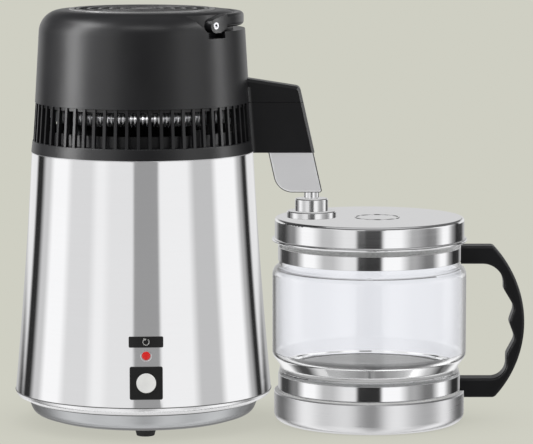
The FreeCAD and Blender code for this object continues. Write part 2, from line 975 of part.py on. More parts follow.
def keep_below(shape, height):
    """What of a shape lies below a height."""
    return shape.common(block(-500, 500, -500, 500, height - 500, height))


def vent_ring():
    """Flange, slats, screw posts and the lower half of the arm, in one moulding."""
    ledge = tray_bottom + tray_wall
    collar_top = flange_top + collar_height
    ring = turned([
        (flange_bottom_radius, head_bottom),
        (flange_top_radius, flange_top, 0.8),
        (collar_radius, flange_top),
        (collar_radius, collar_top),
        (collar_radius - collar_wall, collar_top),
        (collar_radius - collar_wall, ledge),
        (collar_radius + 1, ledge),
        (collar_radius + 1, head_bottom),
    ])
    crown = turned([
        (post_circle - post_radius / 2, vent_top - vent_top_ring),
        (cover_bottom_radius - slat_depth / 2, vent_top - vent_top_ring),
        (cover_bottom_radius - slat_depth / 2, vent_top),
        (post_circle - post_radius / 2, vent_top),
    ])
    slat_degrees = math.degrees(slat_width / cover_bottom_radius)
    slat = turned([
        (flange_top_radius - slat_recess, flange_top - 1),
        (cover_bottom_radius - slat_recess, vent_top),
        (cover_bottom_radius - slat_recess - slat_depth, vent_top),
        (flange_top_radius - slat_recess - slat_depth, flange_top - 1),
    ], slat_degrees, -slat_degrees / 2)
    arm_degrees = math.degrees(math.asin(arm_half_width / cover_bottom_radius))
    slats = []
    for index in range(slat_count):
        azimuth = index * 360.0 / slat_count
        if min(azimuth, 360 - azimuth) > arm_degrees:
            slats.append(spun(slat, azimuth))
    posts = ring_of(rod(post_radius, ledge, vent_top, post_circle), post_count, post_azimuth)
    clip = block(collar_radius - collar_wall, collar_radius, -clip_width / 2, clip_width / 2,
                 flange_top - 1, flange_top + clip_height)
    moulding = joined([ring, crown] + slats + posts + [spun(clip, clip_azimuth)])
    mouth = block(collar_radius - 10, flange_top_radius + 5, -arm_half_width + arm_wall,
                  arm_half_width - arm_wall, flange_top, vent_top + 1)
    keep_clear = turned([
        (0, 0),
        (collar_radius + 1, 0),
        (collar_radius + 1, cover_top),
        (0, cover_top),
    ])
    rim_room = rod(flange_bottom_radius + body_gap, arm_bottom - 1, head_bottom)
    arm = keep_below(arm_outside(), vent_top).cut([keep_clear, rim_room])
    moulding = moulding.fuse(arm)
    moulding = moulding.cut(mouth)
    moulding = moulding.cut(keep_below(arm_slab(arm_wall), vent_top + 1).cut(keep_clear))
    moulding = moulding.cut(nozzle_hole())
    return moulding.cut(cover_screw_bores() + [gland_bore_form()])


def cover_screw_bores():
    """Bores through the four posts."""
    bore = rod(screw_radius + seat_gap, flange_top - 8, vent_top + 18, post_circle)
    seat = tray_bottom + tray_wall
    recess = rod(screw_head_radius + seat_gap, seat - 1, seat + screw_head_height + 1, post_circle)
    return ring_of(joined([bore, recess]), post_count, post_azimuth)


def cover_screws():
    """Long screws from under the ring into the cover's posts."""
    seat = tray_bottom + tray_wall
    head = rod(screw_head_radius, seat, seat + screw_head_height, post_circle)
    shank = rod(screw_radius, seat + 1, vent_top + 15, post_circle)
    return ring_of(joined([head, shank]), post_count, post_azimuth)


def gland_form(radius):
    """Where the fan's lead leaves the back of the flange."""
    near = collar_radius + 1
    return spoke(radius, near, near + gland_length, head_bottom + flange_height / 2, 90)


def gland_bore_form():
    """Hole in the flange for the gland."""
    return gland_form(gland_radius + seat_gap)


def lead_gland():
    """Rubber gland in the flange's back, with a bore for the lead."""
    body = gland_form(gland_radius)
    lip = spoke(gland_radius + 1, flange_bottom_radius + 0.1, flange_bottom_radius + 1.6,
                head_bottom + flange_height / 2, 90)
    bore = spoke(gland_bore, 0, 200, head_bottom + flange_height / 2, 90)
    return joined([body, lip]).cut(bore)


def head_seal():
    """Silicone ring between the tray and the tank's rim."""
    outer = collar_radius + 1 - body_gap
    return pipe_ring(outer, outer - seal_width, head_bottom, tray_bottom)


def head_tray():
    """Steel dish that closes the tank and carries the condenser."""
    rim = collar_radius + 1 - body_gap
    wall_radius = post_circle - post_radius - body_gap
    top = tray_bottom + tray_wall
    tray = turned([
        (0, tray_bottom),
        (rim, tray_bottom),
        (rim, top),
        (wall_radius, top),
        (wall_radius, top + tray_rim_height),
        (wall_radius - tray_wall, top + tray_rim_height),
        (wall_radius - tray_wall, top),
        (0, top),
    ])
    steam = rod(tube_radius + seat_gap, head_bottom, top + 1, -coil_inner_radius(), coil_riser_bend)
    return tray.cut(steam)


def coil_inner_radius():
    """Radius of the coil's first half circle."""
    return coil_radius - coil_pitch


def coil_exit_bend():
    """Radius of the bend that turns the coil outwards to the arm's middle."""
    lean = math.sin(math.radians(coil_exit_degrees))
    return coil_radius * lean / (1 - lean)


def coil_end_x():
    """Where the condenser tube ends, in the root of the arm."""
    straight = (coil_radius + coil_exit_bend()) * math.cos(math.radians(coil_exit_degrees))
    return straight + union_length / 2 + 0.5


def condenser_path():
    """Centre line of the condenser: up from the tray, round in three half circles and out to the arm."""
    inner = coil_inner_radius()
    bend = coil_riser_bend
    low = Vector(-inner, bend, tray_bottom)
    bend_start = Vector(-inner, bend, coil_height - bend)
    lean = math.sin(math.pi / 4)
    bend_middle = Vector(-inner, bend * lean, coil_height - bend * (1 - lean))
    shift = (inner - coil_radius) / 2
    middle_radius = (inner + coil_radius) / 2
    exit_turn = math.radians(coil_exit_degrees)
    exit_bend = coil_exit_bend()
    leave = Vector(coil_radius * math.cos(exit_turn), -coil_radius * math.sin(exit_turn), coil_height)
    bend_centre = leave + Vector(exit_bend * math.cos(exit_turn), -exit_bend * math.sin(exit_turn), 0)
    half_turn = math.radians(90 + (90 - coil_exit_degrees) / 2)
    part_out = bend_centre + Vector(exit_bend * math.cos(half_turn), exit_bend * math.sin(half_turn), 0)
    arrive = bend_centre + Vector(0, exit_bend, 0)
    return [
        Part.makeLine(low, bend_start),
        Part.Arc(bend_start, bend_middle, Vector(-inner, 0, coil_height)).toShape(),
        arc_about(0, inner, coil_height, 180, 270, 360),
        arc_about(shift, middle_radius, coil_height, 0, 90, 180),
        arc_about(0, coil_radius, coil_height, 180, 270, 360 - coil_exit_degrees),
        Part.Arc(leave, part_out, arrive).toShape(),
        Part.makeLine(arrive, Vector(coil_end_x(), 0, coil_height)),
    ]


def condenser_tube():
    """Steel tube that the steam condenses in."""
    start = Vector(-coil_inner_radius(), coil_riser_bend, tray_bottom)
    return hollow_pipe(condenser_path(), tube_radius, tube_wall, start, UP)


def condenser_fins():
    """Thin discs pressed along the condenser tube."""
    blank = Part.makeCylinder(fin_radius, fin_thickness, Vector(0, -fin_thickness / 2, 0), Vector(0, 1, 0))
    bore = Part.makeCylinder(tube_radius + seat_gap, 2 * fin_thickness, Vector(0, -fin_thickness, 0),
                             Vector(0, 1, 0))
    fin = blank.cut(bore)
    inner = coil_inner_radius()
    shift = (inner - coil_radius) / 2
    middle_radius = (inner + coil_radius) / 2
    margin = 6.0
    runs = [
        (0.0, inner, 180 + margin, 360 - margin, fin_back_step),
        (shift, middle_radius, margin, 180 - margin, fin_back_step),
        (0.0, coil_radius, 180 + margin, 360 - coil_exit_degrees - margin, fin_front_step),
    ]
    fins = []
    for centre_x, radius, first, last, step in runs:
        count = int((last - first) / step) + 1
        for index in range(count):
            piece = fin.copy()
            piece.translate(Vector(radius, 0, coil_height))
            piece = spun(piece, first + index * step)
            piece.translate(Vector(centre_x, 0, 0))
            fins.append(piece)
    return fins


def air_spreader():
    """Moulded dome on the tray that turns the fan's air outwards through the fins."""
    low = tray_bottom + tray_wall
    high = low + spreader_rise
    inner_round = spreader_top_round - spreader_wall
    return turned([
        (0, high),
        (spreader_waist, high, spreader_top_round),
        (spreader_radius - spreader_flange, low + spreader_wall),
        (spreader_radius, low + spreader_wall),
        (spreader_radius, low),
        (spreader_radius - spreader_flange - spreader_wall, low),
        (spreader_waist - spreader_wall, high - spreader_wall, inner_round),
        (0, high - spreader_wall),
    ])


def riser_nut():
    """Nut that holds the condenser's foot on the tray."""
    x = -coil_inner_radius()
    low = tray_bottom + tray_wall
    nut = slab(hex_corners(riser_nut_radius, x, coil_riser_bend), low, low + riser_nut_height)
    return nut.cut(rod(tube_radius + running_gap, low - 1, low + riser_nut_height + 1, x, coil_riser_bend))


def tube_union():
    """Sleeve nut that joins the condenser to the outlet tube."""
    near = coil_end_x() - union_length / 2
    body = end_slab(hex_corners(union_radius, 0, coil_height), near, near + union_length)
    start = Vector(near - 1, 0, coil_height)
    bore = Part.makeCylinder(tube_radius + running_gap, union_length + 2, start, ALONG_X)
    return body.cut(bore)


def arm_tip_lean():
    """How far the arm's tip leans back for each millimetre of height."""
    return (arm_toe + arm_tip_setback) / (arm_tip_height + arm_sag)


def outlet_tube():
    """Tube through the arm that turns down to the jug, with a wider sleeve at its end."""
    start_x = coil_end_x() + 0.2
    sleeve_top = outlet_end_height + outlet_sleeve_length
    kink = arm_bottom - outlet_kink
    path = rounded_edges([
        (start_x, coil_height),
        (spout_reach - (coil_height - kink) * arm_tip_lean(), coil_height, outlet_bend),
        (spout_reach, kink, outlet_bend),
        (spout_reach, outlet_end_height),
    ], upright, False)
    start = upright(start_x, coil_height)
    tube = piped(path, tube_radius, start, ALONG_X)
    sleeve = rod(outlet_sleeve_radius, outlet_end_height, sleeve_top, spout_reach)
    sleeve = sleeve.makeFillet(0.6, [edge for edge in sleeve.Edges if edge.BoundBox.ZLength < TINY])
    bore = piped(path, tube_radius - tube_wall, start, ALONG_X)
    return tube.fuse(sleeve).cut(bore).removeSplitter()


def nozzle_corners(inset, top):
    """Side view of the nozzle cover, drawn in by an inset."""
    tip_slope = arm_tip_lean()
    top_x = spout_reach + arm_toe - nozzle_setback
    drop = arm_bottom - nozzle_bottom_height
    toe_x = top_x + tip_slope * drop
    lift = top - arm_bottom
    back_x = top_x - nozzle_back
    heel_x = back_x + nozzle_back_lean
    back_slope = nozzle_back_lean / drop
    return [
        (back_x - back_slope * lift + inset, top),
        (heel_x + inset, nozzle_bottom_height + inset, nozzle_heel_radius - inset),
        (toe_x - inset, nozzle_bottom_height + inset, nozzle_toe_radius),
        (top_x - tip_slope * lift - inset, top),
    ]


def nozzle_hole():
    """Opening in the arm's floor that the nozzle's spigot fills."""
    half = nozzle_half_width - nozzle_wall + seat_gap
    corners = nozzle_corners(nozzle_wall - seat_gap, arm_bottom + nozzle_spigot + seat_gap)
    return wall_slab(corners, -half, half)


def nozzle_cover():
    """Steel hood under the arm that hides the end of the outlet tube."""
    half = nozzle_half_width
    body = wall_slab(nozzle_corners(0.0, arm_bottom), -half, half)
    edges = []
    for edge in body.Edges:
        box = edge.BoundBox
        on_side = abs(abs(box.YMin) - half) < 0.01 and box.YLength < 0.01
        if on_side and box.ZMin < arm_bottom - 1:
            edges.append(edge)
    body = body.makeFillet(nozzle_edge, edges)
    spigot_top = arm_bottom + nozzle_spigot
    inner_half = half - nozzle_wall
    spigot = wall_slab(nozzle_corners(nozzle_wall, spigot_top), -inner_half, inner_half)
    spigot = keep_above(spigot, arm_bottom - 3)
    room_half = half - 2 * nozzle_wall
    room = wall_slab(nozzle_corners(2 * nozzle_wall, spigot_top + 1), -room_half, room_half)
    low = nozzle_bottom_height - 1
    drain = rod(outlet_sleeve_radius + body_gap, low, low + 5, spout_reach)
    return body.fuse(spigot).cut(room).cut(drain).removeSplitter()


# Head: cover, grille, fan and carry handle

def cover_form(inset):
    """The cover's outside as one filled solid, drawn in by an inset."""
    return turned([
        (0, vent_top - 5),
        (cone_radius_at(vent_top) - inset, vent_top - 5),
        (cone_radius_at(vent_top) - inset, vent_top),
        (cover_top_radius - inset, cover_top - inset, cover_shoulder - inset),
        (0, cover_top - inset),
    ])


def handle_pocket():
    """Space over the ledge, with end walls that lean away so that the handle can pass upright."""
    lean = math.tan(math.radians(pocket_lean))
    high = cover_top + 5
    ring = pipe_ring(150, ledge_inner_radius, ledge_height, high)
    side = end_slab([
        (-pocket_back, ledge_height - 1),
        (150, ledge_height - 1),
        (150, high),
        (-pocket_back - lean * (high - ledge_height), high),
    ], -150, 150)
    notch = pipe_ring(150, ledge_inner_radius, notch_bottom, high)
    notch = notch.common(block(-150, 150, -notch_back, notch_front, notch_bottom, ledge_height + 1))
    return spun(ring.common(side).fuse(notch), handle_azimuth)


def cover_room():
    """Hollow inside of the cover: full height in the middle and under the closed shoulder."""
    ceiling = notch_bottom - cover_wall
    core = rod(ledge_inner_radius - cover_wall, vent_top - 5, cover_top)
    lower = rod(cover_bottom_radius, vent_top - 5, ceiling)
    margin = 14.0
    wedge = Part.makeCylinder(cover_bottom_radius, cover_top - vent_top, Vector(0, 0, vent_top), UP,
                              180 - 2 * margin)
    wedge = spun(wedge, handle_azimuth + 180 + margin)
    return cover_form(cover_wall).common(core.fuse(lower).fuse(wedge))


def head_cover():
    """Domed cover with the upper half of the arm."""
    ceiling = notch_bottom - cover_wall + 1
    shell = keep_above(cover_form(0), vent_top + cover_seam).cut(cover_room())
    posts = ring_of(rod(post_radius + 0.7, vent_top, ceiling, post_circle), post_count, post_azimuth)
    bosses = ring_of(rod(bracket_boss_radius, motor_top, cover_top, bracket_boss_circle), bracket_count)
    sockets = [spoke(2 * pin_radius, ledge_inner_radius - pin_root, ledge_inner_radius - 1, hinge_height,
                     handle_azimuth + side) for side in (0, 180)]
    seat_bottom = cover_top - grille_recess - grille_seat_depth
    seat = pipe_ring(grille_radius + 4, grille_radius - grille_seat, seat_bottom, cover_top - 1)
    inner = cover_form(1.0)
    solid = joined([shell] + [piece.common(inner) for piece in posts + bosses + sockets + [seat]])
    keep_clear = rod(cover_bottom_radius - cover_wall - 0.5, vent_top - 1, cover_top)
    arm = keep_above(arm_outside(), vent_top + cover_seam).cut(keep_clear)
    arm_room = arm_slab(arm_wall)
    solid = solid.fuse(arm).cut(keep_below(arm_room, vent_top + 30).common(
        block(cone_radius_at(vent_top) - cover_wall - 3, 300, -100, 100, vent_top - 1, cover_top)))
    solid = solid.cut(handle_pocket())
    solid = solid.cut(rod(grille_radius + body_gap, cover_top - grille_recess, cover_top + 1))
    solid = solid.cut(rod(grille_radius - grille_seat, cover_top - 20, cover_top + 1))
    pin_bores = [spoke(pin_radius + seat_gap, ledge_inner_radius - pin_root - 1, 150, hinge_height,
                       handle_azimuth + side) for side in (0, 180)]
    solid = solid.cut(cover_screw_bores() + bracket_screw_bores() + grille_screw_bores() + pin_bores)
    return solid.removeSplitter()


def bracket_screw_bores():
    """Bores in the cover's bosses for the motor bracket's screws."""
    bore = rod(screw_radius + seat_gap, motor_top - 1, motor_top + 8, bracket_boss_circle)
    return ring_of(bore, bracket_count)


def grille_screw_bores():
    """Bores through the grille's seat."""
    seat_bottom = cover_top - grille_recess - grille_seat_depth
    bore = rod(screw_radius + seat_gap, seat_bottom - 1, cover_top, grille_radius - grille_seat / 2)
    return ring_of(bore, bracket_count, 45)


def top_grille():
    """Fan guard of concentric rings on radial spokes."""
    low = cover_top - grille_recess
    parts = [pipe_ring(grille_radius, grille_radius - grille_seat + 1.5, low, grille_top)]
    for index in range(grille_ring_count):
        outer = grille_radius - grille_seat - index * grille_ring_pitch
        if outer - grille_ring_width > grille_hub_radius:
            parts.append(pipe_ring(outer, outer - grille_ring_width, low, grille_top))
    parts.append(rod(grille_hub_radius, low, grille_top))
    arm = block(0, grille_radius - grille_seat + 2, -grille_spoke_width / 2, grille_spoke_width / 2,
                low, grille_top - 0.9)
    parts.extend(ring_of(arm, grille_spoke_count, 15))
    guard = joined(parts)
    bore = rod(screw_radius, low - 1, low + 1.8, grille_radius - grille_seat / 2)
    for bore in ring_of(bore, bracket_count, 45):
        guard = guard.cut(bore)
    return guard


def grille_screws():
    """Screws from inside the cover into the grille's rim."""
    seat_bottom = cover_top - grille_recess - grille_seat_depth
    where = grille_radius - grille_seat / 2
    head = rod(screw_head_radius, seat_bottom - screw_head_height, seat_bottom, where)
    shank = rod(screw_radius - running_gap, seat_bottom - 1, seat_bottom + grille_seat_depth + 1.6, where)
    return ring_of(joined([head, shank]), bracket_count, 45)


def motor_bracket():
    """Pressed cross that carries the motor under the fan."""
    low = motor_top - bracket_thickness
    plate = rod(motor_radius + 3, low, motor_top)
    arm = block(0, bracket_boss_circle + 5, -bracket_arm_width / 2, bracket_arm_width / 2, low, motor_top)
    bracket = joined([plate] + ring_of(arm, bracket_count))
    bracket = bracket.cut(rod(motor_radius / 2 + seat_gap, low - 1, motor_top + 1))
    bore = rod(screw_radius + seat_gap, low - 1, motor_top + 1, bracket_boss_circle)
    for bore in ring_of(bore, bracket_count):
        bracket = bracket.cut(bore)
    return bracket


def bracket_screws():
    """Screws that hold the bracket to the cover's bosses."""
    low = motor_top - bracket_thickness
    head = rod(screw_head_radius, low - screw_head_height, low, bracket_boss_circle)
    shank = rod(screw_radius, low - 1, motor_top + 6, bracket_boss_circle)
    return ring_of(joined([head, shank]), bracket_count)


def fan_motor():
    """Motor under the bracket, its nose through the plate."""
    top = motor_top - bracket_thickness
    can = turned([
        (0, top - motor_height),
        (motor_radius, top - motor_height, 2.0),
        (motor_radius, top, 1.0),
        (motor_radius / 2, top),
        (motor_radius / 2, motor_top + motor_shaft_gap / 2),
        (0, motor_top + motor_shaft_gap / 2),
    ])
    return can.cut(rod(fan_shaft_radius + running_gap, top - motor_height + 3, fan_bottom + 1))


def fan_rotor():
    """Hub with curved blades, and the shaft that runs in the motor."""
    hub = turned([
        (0, fan_bottom),
        (fan_hub_radius, fan_bottom),
        (fan_hub_radius, fan_top, 3.0),
        (0, fan_top),
    ])
    blade_height = fan_hub_height - 3
    chord = blade_height / math.sin(math.radians(fan_blade_pitch))
    blade = block(fan_hub_radius / 2, fan_radius, -chord / 2, chord / 2,
                  -fan_blade_thickness / 2, fan_blade_thickness / 2)
    blade.rotate(ORIGIN, ALONG_X, fan_blade_pitch)
    blade.translate(Vector(0, 0, (fan_bottom + fan_top) / 2))
    disc = rod(fan_radius, fan_bottom + 0.5, fan_top - 0.5)
    blades = [piece.common(disc) for piece in ring_of(blade, fan_blade_count)]
    shaft = rod(fan_shaft_radius, motor_top - bracket_thickness - motor_height + 5, fan_bottom + 1)
    return hub.multiFuse([shaft] + blades)


def carry_handle():
    """Half ring with a boss round each hinge pin."""
    middle = (handle_inner_radius + handle_outer_radius) / 2
    edge = handle_edge
    bow = turned([
        (handle_inner_radius, handle_bottom, edge),
        (handle_outer_radius, handle_bottom, edge),
        (handle_outer_radius, handle_top, edge),
        (handle_inner_radius, handle_top, edge),
    ], 180)
    blend_turn = math.degrees(handle_boss_blend / middle)
    trim_low = block(-150, 150, -50, handle_boss_blend, handle_top - 60, handle_top + 60)
    bow = bow.cut(trim_low)
    rise = handle_top - hinge_height
    distance = math.hypot(handle_boss_blend, rise)
    tangent = math.atan2(rise, handle_boss_blend) + math.acos(handle_boss_radius / distance)
    touch_y = handle_boss_radius * math.cos(tangent)
    touch_z = hinge_height + handle_boss_radius * math.sin(tangent)
    heel = [
        (0, hinge_height - handle_boss_radius),
        (handle_boss_radius, hinge_height - handle_boss_radius, 2.0),
        (handle_boss_blend + 0.5, handle_bottom),
        (handle_boss_blend + 0.5, handle_top),
        (handle_boss_blend, handle_top),
        (touch_y, touch_z),
        (0, hinge_height),
    ]
    ends = []
    for side in (-1, 1):
        cheek = end_slab(heel, -150, 150)
        barrel = Part.makeCylinder(handle_boss_radius, 300, Vector(-150, 0, hinge_height), ALONG_X)
        end = cheek.fuse(barrel).common(pipe_ring(handle_outer_radius, handle_inner_radius, 300, 420))
        half = block(0, 150, -50, 50, 300, 420) if side > 0 else block(-150, 0, -50, 50, 300, 420)
        ends.append(end.common(half))
    handle = joined([bow] + ends)
    for side in (0, 180):
        handle = handle.cut(spoke(pin_radius + running_gap, 0, 150, hinge_height, side))
        handle = handle.cut(spoke(pin_head_radius + running_gap, handle_outer_radius - pin_head - 0.2, 150,
                                  hinge_height, side))
    return spun(handle, handle_azimuth)


def handle_pins():
    """Hollow pins that the handle turns on."""
    pins = []
    for side in (0, 180):
        azimuth = handle_azimuth + side
        outer = handle_outer_radius
        shank = spoke(pin_radius, ledge_inner_radius - pin_root + 1, outer - 0.5, hinge_height, azimuth)
        head = spoke(pin_head_radius, outer - pin_head, outer, hinge_height, azimuth)
        bore = spoke(pin_bore, ledge_inner_radius, 150, hinge_height, azimuth)
        pins.append(joined([shank, head]).cut(bore))
    return pins


# Jug

def jug_glass():
    """Blown jug: a neck, a bulge, a pinched waist and a foot ring under the raised floor."""
    waist = jug_pinch_radius
    return turned([
        (jug_foot_radius, jug_foot_bottom, 0.8),
        (jug_foot_radius, jug_pinch_height - 3.5, 1.5),
        (waist, jug_pinch_height, 1.5),
        (jug_bulge_radius, jug_bulge_bottom + 3, jug_bulge_round),
        (jug_bulge_radius, jug_bulge_top, jug_bulge_round),
        (jug_neck_radius, jug_neck_bottom, 2.0),
        (jug_neck_radius, jug_rim_height, 1.2),
        (glass_neck_inner, jug_rim_height, 1.2),
        (glass_neck_inner, jug_neck_bottom - 1.5, 2.0),
        (jug_bulge_radius - glass_wall, jug_bulge_top - 2, jug_bulge_round - glass_wall),
        (jug_bulge_radius - glass_wall, jug_bulge_bottom + 4, jug_bulge_round - glass_wall),
        (waist - glass_wall - 6, jug_floor_height, 5.0),
        (0, jug_floor_height),
        (0, jug_floor_height - glass_wall),
        (jug_foot_radius - glass_wall, jug_floor_height - glass_wall, jug_floor_round),
        (jug_foot_radius - glass_wall, jug_foot_bottom, 0.8),
    ])


def jug_base_cap():
    """Steel cup that the jug stands in."""
    lip = jug_base_radius - jug_base_lip
    return turned([
        (0, 0),
        (jug_base_radius, 0, jug_base_corner),
        (jug_base_radius, jug_base_height, 1.0),
        (lip, jug_base_height),
        (lip, jug_base_height - jug_steel),
        (jug_base_radius - jug_steel, jug_base_height - jug_steel),
        (jug_base_radius - jug_steel, jug_steel, jug_base_corner - jug_steel),
        (0, jug_steel),
    ])


def base_insert():
    """Plastic cup inside the base that carries the glass and its steel disc."""
    outer = jug_foot_radius - glass_wall - seat_gap
    top = jug_floor_height - glass_wall - base_disc_thickness
    seat = jug_foot_bottom
    foot = jug_base_radius - jug_base_corner
    shelf = jug_base_radius - jug_base_lip - body_gap
    deck = top - insert_wall
    return turned([
        (0, top),
        (outer, top, jug_floor_round + 0.2),
        (outer, seat),
        (shelf, seat),
        (shelf, seat - insert_wall),
        (foot, seat - insert_wall),
        (foot, jug_steel),
        (foot - insert_wall, jug_steel),
        (foot - insert_wall, deck),
        (0, deck),
    ])


def base_disc():
    """Bright disc under the glass floor."""
    top = jug_floor_height - glass_wall
    return rod(base_disc_radius, top - base_disc_thickness, top)


def band(low, high, glass_radius):
    """Steel strap round the glass, with a lug for the handle."""
    inner = glass_radius + seat_gap
    outer = inner + band_wall
    strap = pipe_ring(outer, inner, low, high)
    middle = low + lug_rise
    lug = block(inner + 0.2, outer + lug_length, -lug_half_width, lug_half_width,
                middle - lug_thickness / 2, middle + lug_thickness / 2)
    bore = rod(grip_screw_radius + seat_gap, low - 20, high + 20, lug_bore_x(outer))
    return strap.fuse(lug).cut(rod(inner, low - 1, high + 1)).cut(bore).removeSplitter()


def lug_bore_x(outer):
    """Where the handle's screw passes through a band's lug."""
    return outer + 0.6 * lug_length


def upper_band():
    """Strap round the neck."""
    return band(upper_band_low, upper_band_high, jug_neck_radius)


def lower_band():
    """Strap round the foot."""
    return band(lower_band_low, lower_band_high, jug_foot_radius)


def grip_seats():
    """For each arm of the handle: its band's outer radius, its lug's height and the arm's underside."""
    upper = jug_neck_radius + seat_gap + band_wall
    lower = jug_foot_radius + seat_gap + band_wall
    return [
        (upper, upper_band_low + lug_rise, grip_inner_top),
        (lower, lower_band_low + lug_rise, grip_bottom),
    ]


def jug_handle():
    """D-shaped grip with finger grooves, slotted over the lugs of both bands."""
    centre_x = grip_reach - grip_arc_radius
    top_x = centre_x + math.sqrt(grip_arc_radius ** 2 - (grip_top - grip_middle) ** 2)
    low_x = centre_x + math.sqrt(grip_arc_radius ** 2 - (grip_middle - grip_bottom) ** 2)
    root = jug_neck_radius - 8
    outer_arc = Part.Arc(upright(top_x, grip_top), upright(grip_reach, grip_middle),
                         upright(low_x, grip_bottom)).toShape()
    sides = [
        Part.makeLine(upright(root, grip_bottom), upright(root, grip_top)),
        Part.makeLine(upright(root, grip_top), upright(top_x, grip_top)),
        outer_arc,
        Part.makeLine(upright(low_x, grip_bottom), upright(root, grip_bottom)),
    ]
    blank = Part.Face(Part.Wire(sides))
    blank.translate(Vector(0, -grip_half_width, 0))
    blank = blank.extrude(Vector(0, 2 * grip_half_width, 0))
    corners = [edge for edge in blank.Edges
               if edge.BoundBox.YLength > grip_half_width and edge.BoundBox.XMin > root + 1]
    blank = blank.makeFillet(grip_corner, corners)
    gap = wall_slab([
        (root - 5, grip_inner_top),
        (grip_knuckle, grip_inner_top, grip_web_top),
        (grip_knuckle, 119.0, 5.0),
        (grip_knuckle + 9.6, 103.0, 9.0),
        (grip_knuckle + 5.0, 89.5, 7.0),
        (grip_knuckle + 10.4, 75.0, 8.0),
        (grip_heel, 60.5, 8.0),
        (grip_heel, grip_inner_bottom, grip_web_bottom),
        (root - 5, grip_inner_bottom),
    ], -20, 20)
    grip = blank.cut(gap)
    rims = [edge for edge in grip.Edges if edge.BoundBox.YLength < TINY and edge.BoundBox.XMax > root + 1]
    grip = grip.makeFillet(grip_edge, rims)
    seats = grip_seats()
    split = (grip_inner_top + grip_inner_bottom) / 2
    upper_room = rod(seats[0][0] + seat_gap, split, grip_top + 5)
    lower_room = rod(seats[1][0] + seat_gap, grip_bottom - 5, split)
    base_room = rod(jug_base_radius + body_gap, 0, jug_base_height + body_gap)
    grip = grip.cut(upper_room).cut(lower_room).cut(base_room)
    for outer, height, underside in seats:
        slot = block(outer - 5, outer + lug_length + seat_gap, -lug_half_width - seat_gap,
                     lug_half_width + seat_gap, height - lug_thickness / 2 - seat_gap,
                     height + lug_thickness / 2 + seat_gap)
        grip = grip.cut(slot)
        x = lug_bore_x(outer)
        bore_top = height + grip_screw_reach + body_gap
        grip = grip.cut(rod(grip_screw_radius + seat_gap, underside - 1, bore_top, x))
        grip = grip.cut(rod(grip_screw_head + seat_gap, underside - 1, underside + 3, x))
    return grip


def handle_screws():
    """Screws up through the arms and lugs."""
    screws = []
    for outer, height, underside in grip_seats():
        x = lug_bore_x(outer)
        head = rod(grip_screw_head, underside + 0.8, underside + 3, x)
        shank = rod(grip_screw_radius, underside + 2, height + grip_screw_reach, x)
        screws.append(joined([head, shank]))
    return screws


# Lid

def lid_shell():
    """Spun steel lid with a rolled edge, a hole for the filter cup and a low round bead."""
    bead_top = lid_bead_bottom + lid_bead_height
    bead_round = lid_bead_height / 2 - 0.1
    inner = lid_radius - lid_steel
    shell = turned([
        (0, lid_top_height),
        (lid_radius, lid_top_height, lid_edge),
        (lid_radius, bead_top, 0.5),
        (lid_bead_radius, bead_top, bead_round),
        (lid_bead_radius, lid_bead_bottom, bead_round),
        (inner, lid_bead_bottom),
        (inner, lid_top_height - lid_steel, lid_edge - lid_steel),
        (0, lid_top_height - lid_steel),
    ])
    mark = pipe_ring(lid_mark_radius, lid_mark_radius - lid_mark_width,
                     lid_top_height - lid_steel / 2, lid_top_height + lid_mark_rise)
    mark.translate(Vector(lid_mark_offset, 0, 0))
    hole = rod(pod_radius + seat_gap, lid_bead_bottom, lid_top_height + 1, -filter_offset)
    return shell.fuse(spun(mark, lid_mark_azimuth)).cut(hole)


def lid_plug():
    """Plastic underside of the lid: a flange on the glass rim and a skirt inside the neck."""
    flange_top_height = jug_rim_height + plug_flange
    rim = lid_radius - lid_steel - body_gap
    under = lid_top_height - lid_steel
    plug = turned([
        (0, under - plug_wall),
        (plug_top_radius - plug_wall, under - plug_wall),
        (plug_top_radius - plug_wall, jug_rim_height),
        (plug_radius - plug_wall, jug_rim_height),
        (plug_radius - plug_wall, plug_bottom),
        (plug_radius, plug_bottom, 1.0),
        (plug_radius, jug_rim_height),
        (rim, jug_rim_height),
        (rim, flange_top_height),
        (plug_top_radius, flange_top_height),
        (plug_top_radius, under, 2.0),
        (0, under),
    ])
    return plug.cut(rod(pod_radius + seat_gap, plug_bottom, lid_top_height + 1, -filter_offset))


def lid_seal():
    """Silicone ring round the plug, inside the neck."""
    outer = glass_neck_inner - body_gap
    middle = jug_rim_height - 1.5
    return turned([
        (plug_radius + seat_gap, middle - lid_seal_height),
        (outer, middle - lid_seal_height, 1.0),
        (outer, middle, 1.0),
        (plug_radius + seat_gap, middle),
    ])


def filter_flange():
    """Round foot of the filter cup on the lid."""
    flange = turned([
        (filter_bore, lid_top_height),
        (filter_flange_radius, lid_top_height),
        (filter_flange_radius, filter_flange_top, 1.0),
        (filter_bore, filter_flange_top),
    ])
    flange.translate(Vector(-filter_offset, 0, 0))
    return flange


def filter_collar():
    """Collar that the drops fall into."""
    collar = turned([
        (filter_bore, filter_flange_top),
        (filter_collar_radius, filter_flange_top),
        (filter_collar_radius, filter_collar_top, 1.0),
        (filter_bore, filter_collar_top, 1.0),
    ])
    collar.translate(Vector(-filter_offset, 0, 0))
    return collar


def filter_pod():
    """Cup that holds the carbon, hung through the lid."""
    pod = turned([
        (0, pod_bottom),
        (pod_radius, pod_bottom, 1.5),
        (pod_radius, lid_top_height),
        (pod_radius - pod_wall, lid_top_height),
        (pod_radius - pod_wall, pod_bottom + pod_wall, 1.0),
        (0, pod_bottom + pod_wall),
    ])
    for hole in ring_of(rod(1.2, pod_bottom - 1, pod_bottom + 3, pod_radius / 2), 6):
        pod = pod.cut(hole)
    pod.translate(Vector(-filter_offset, 0, 0))
    return pod


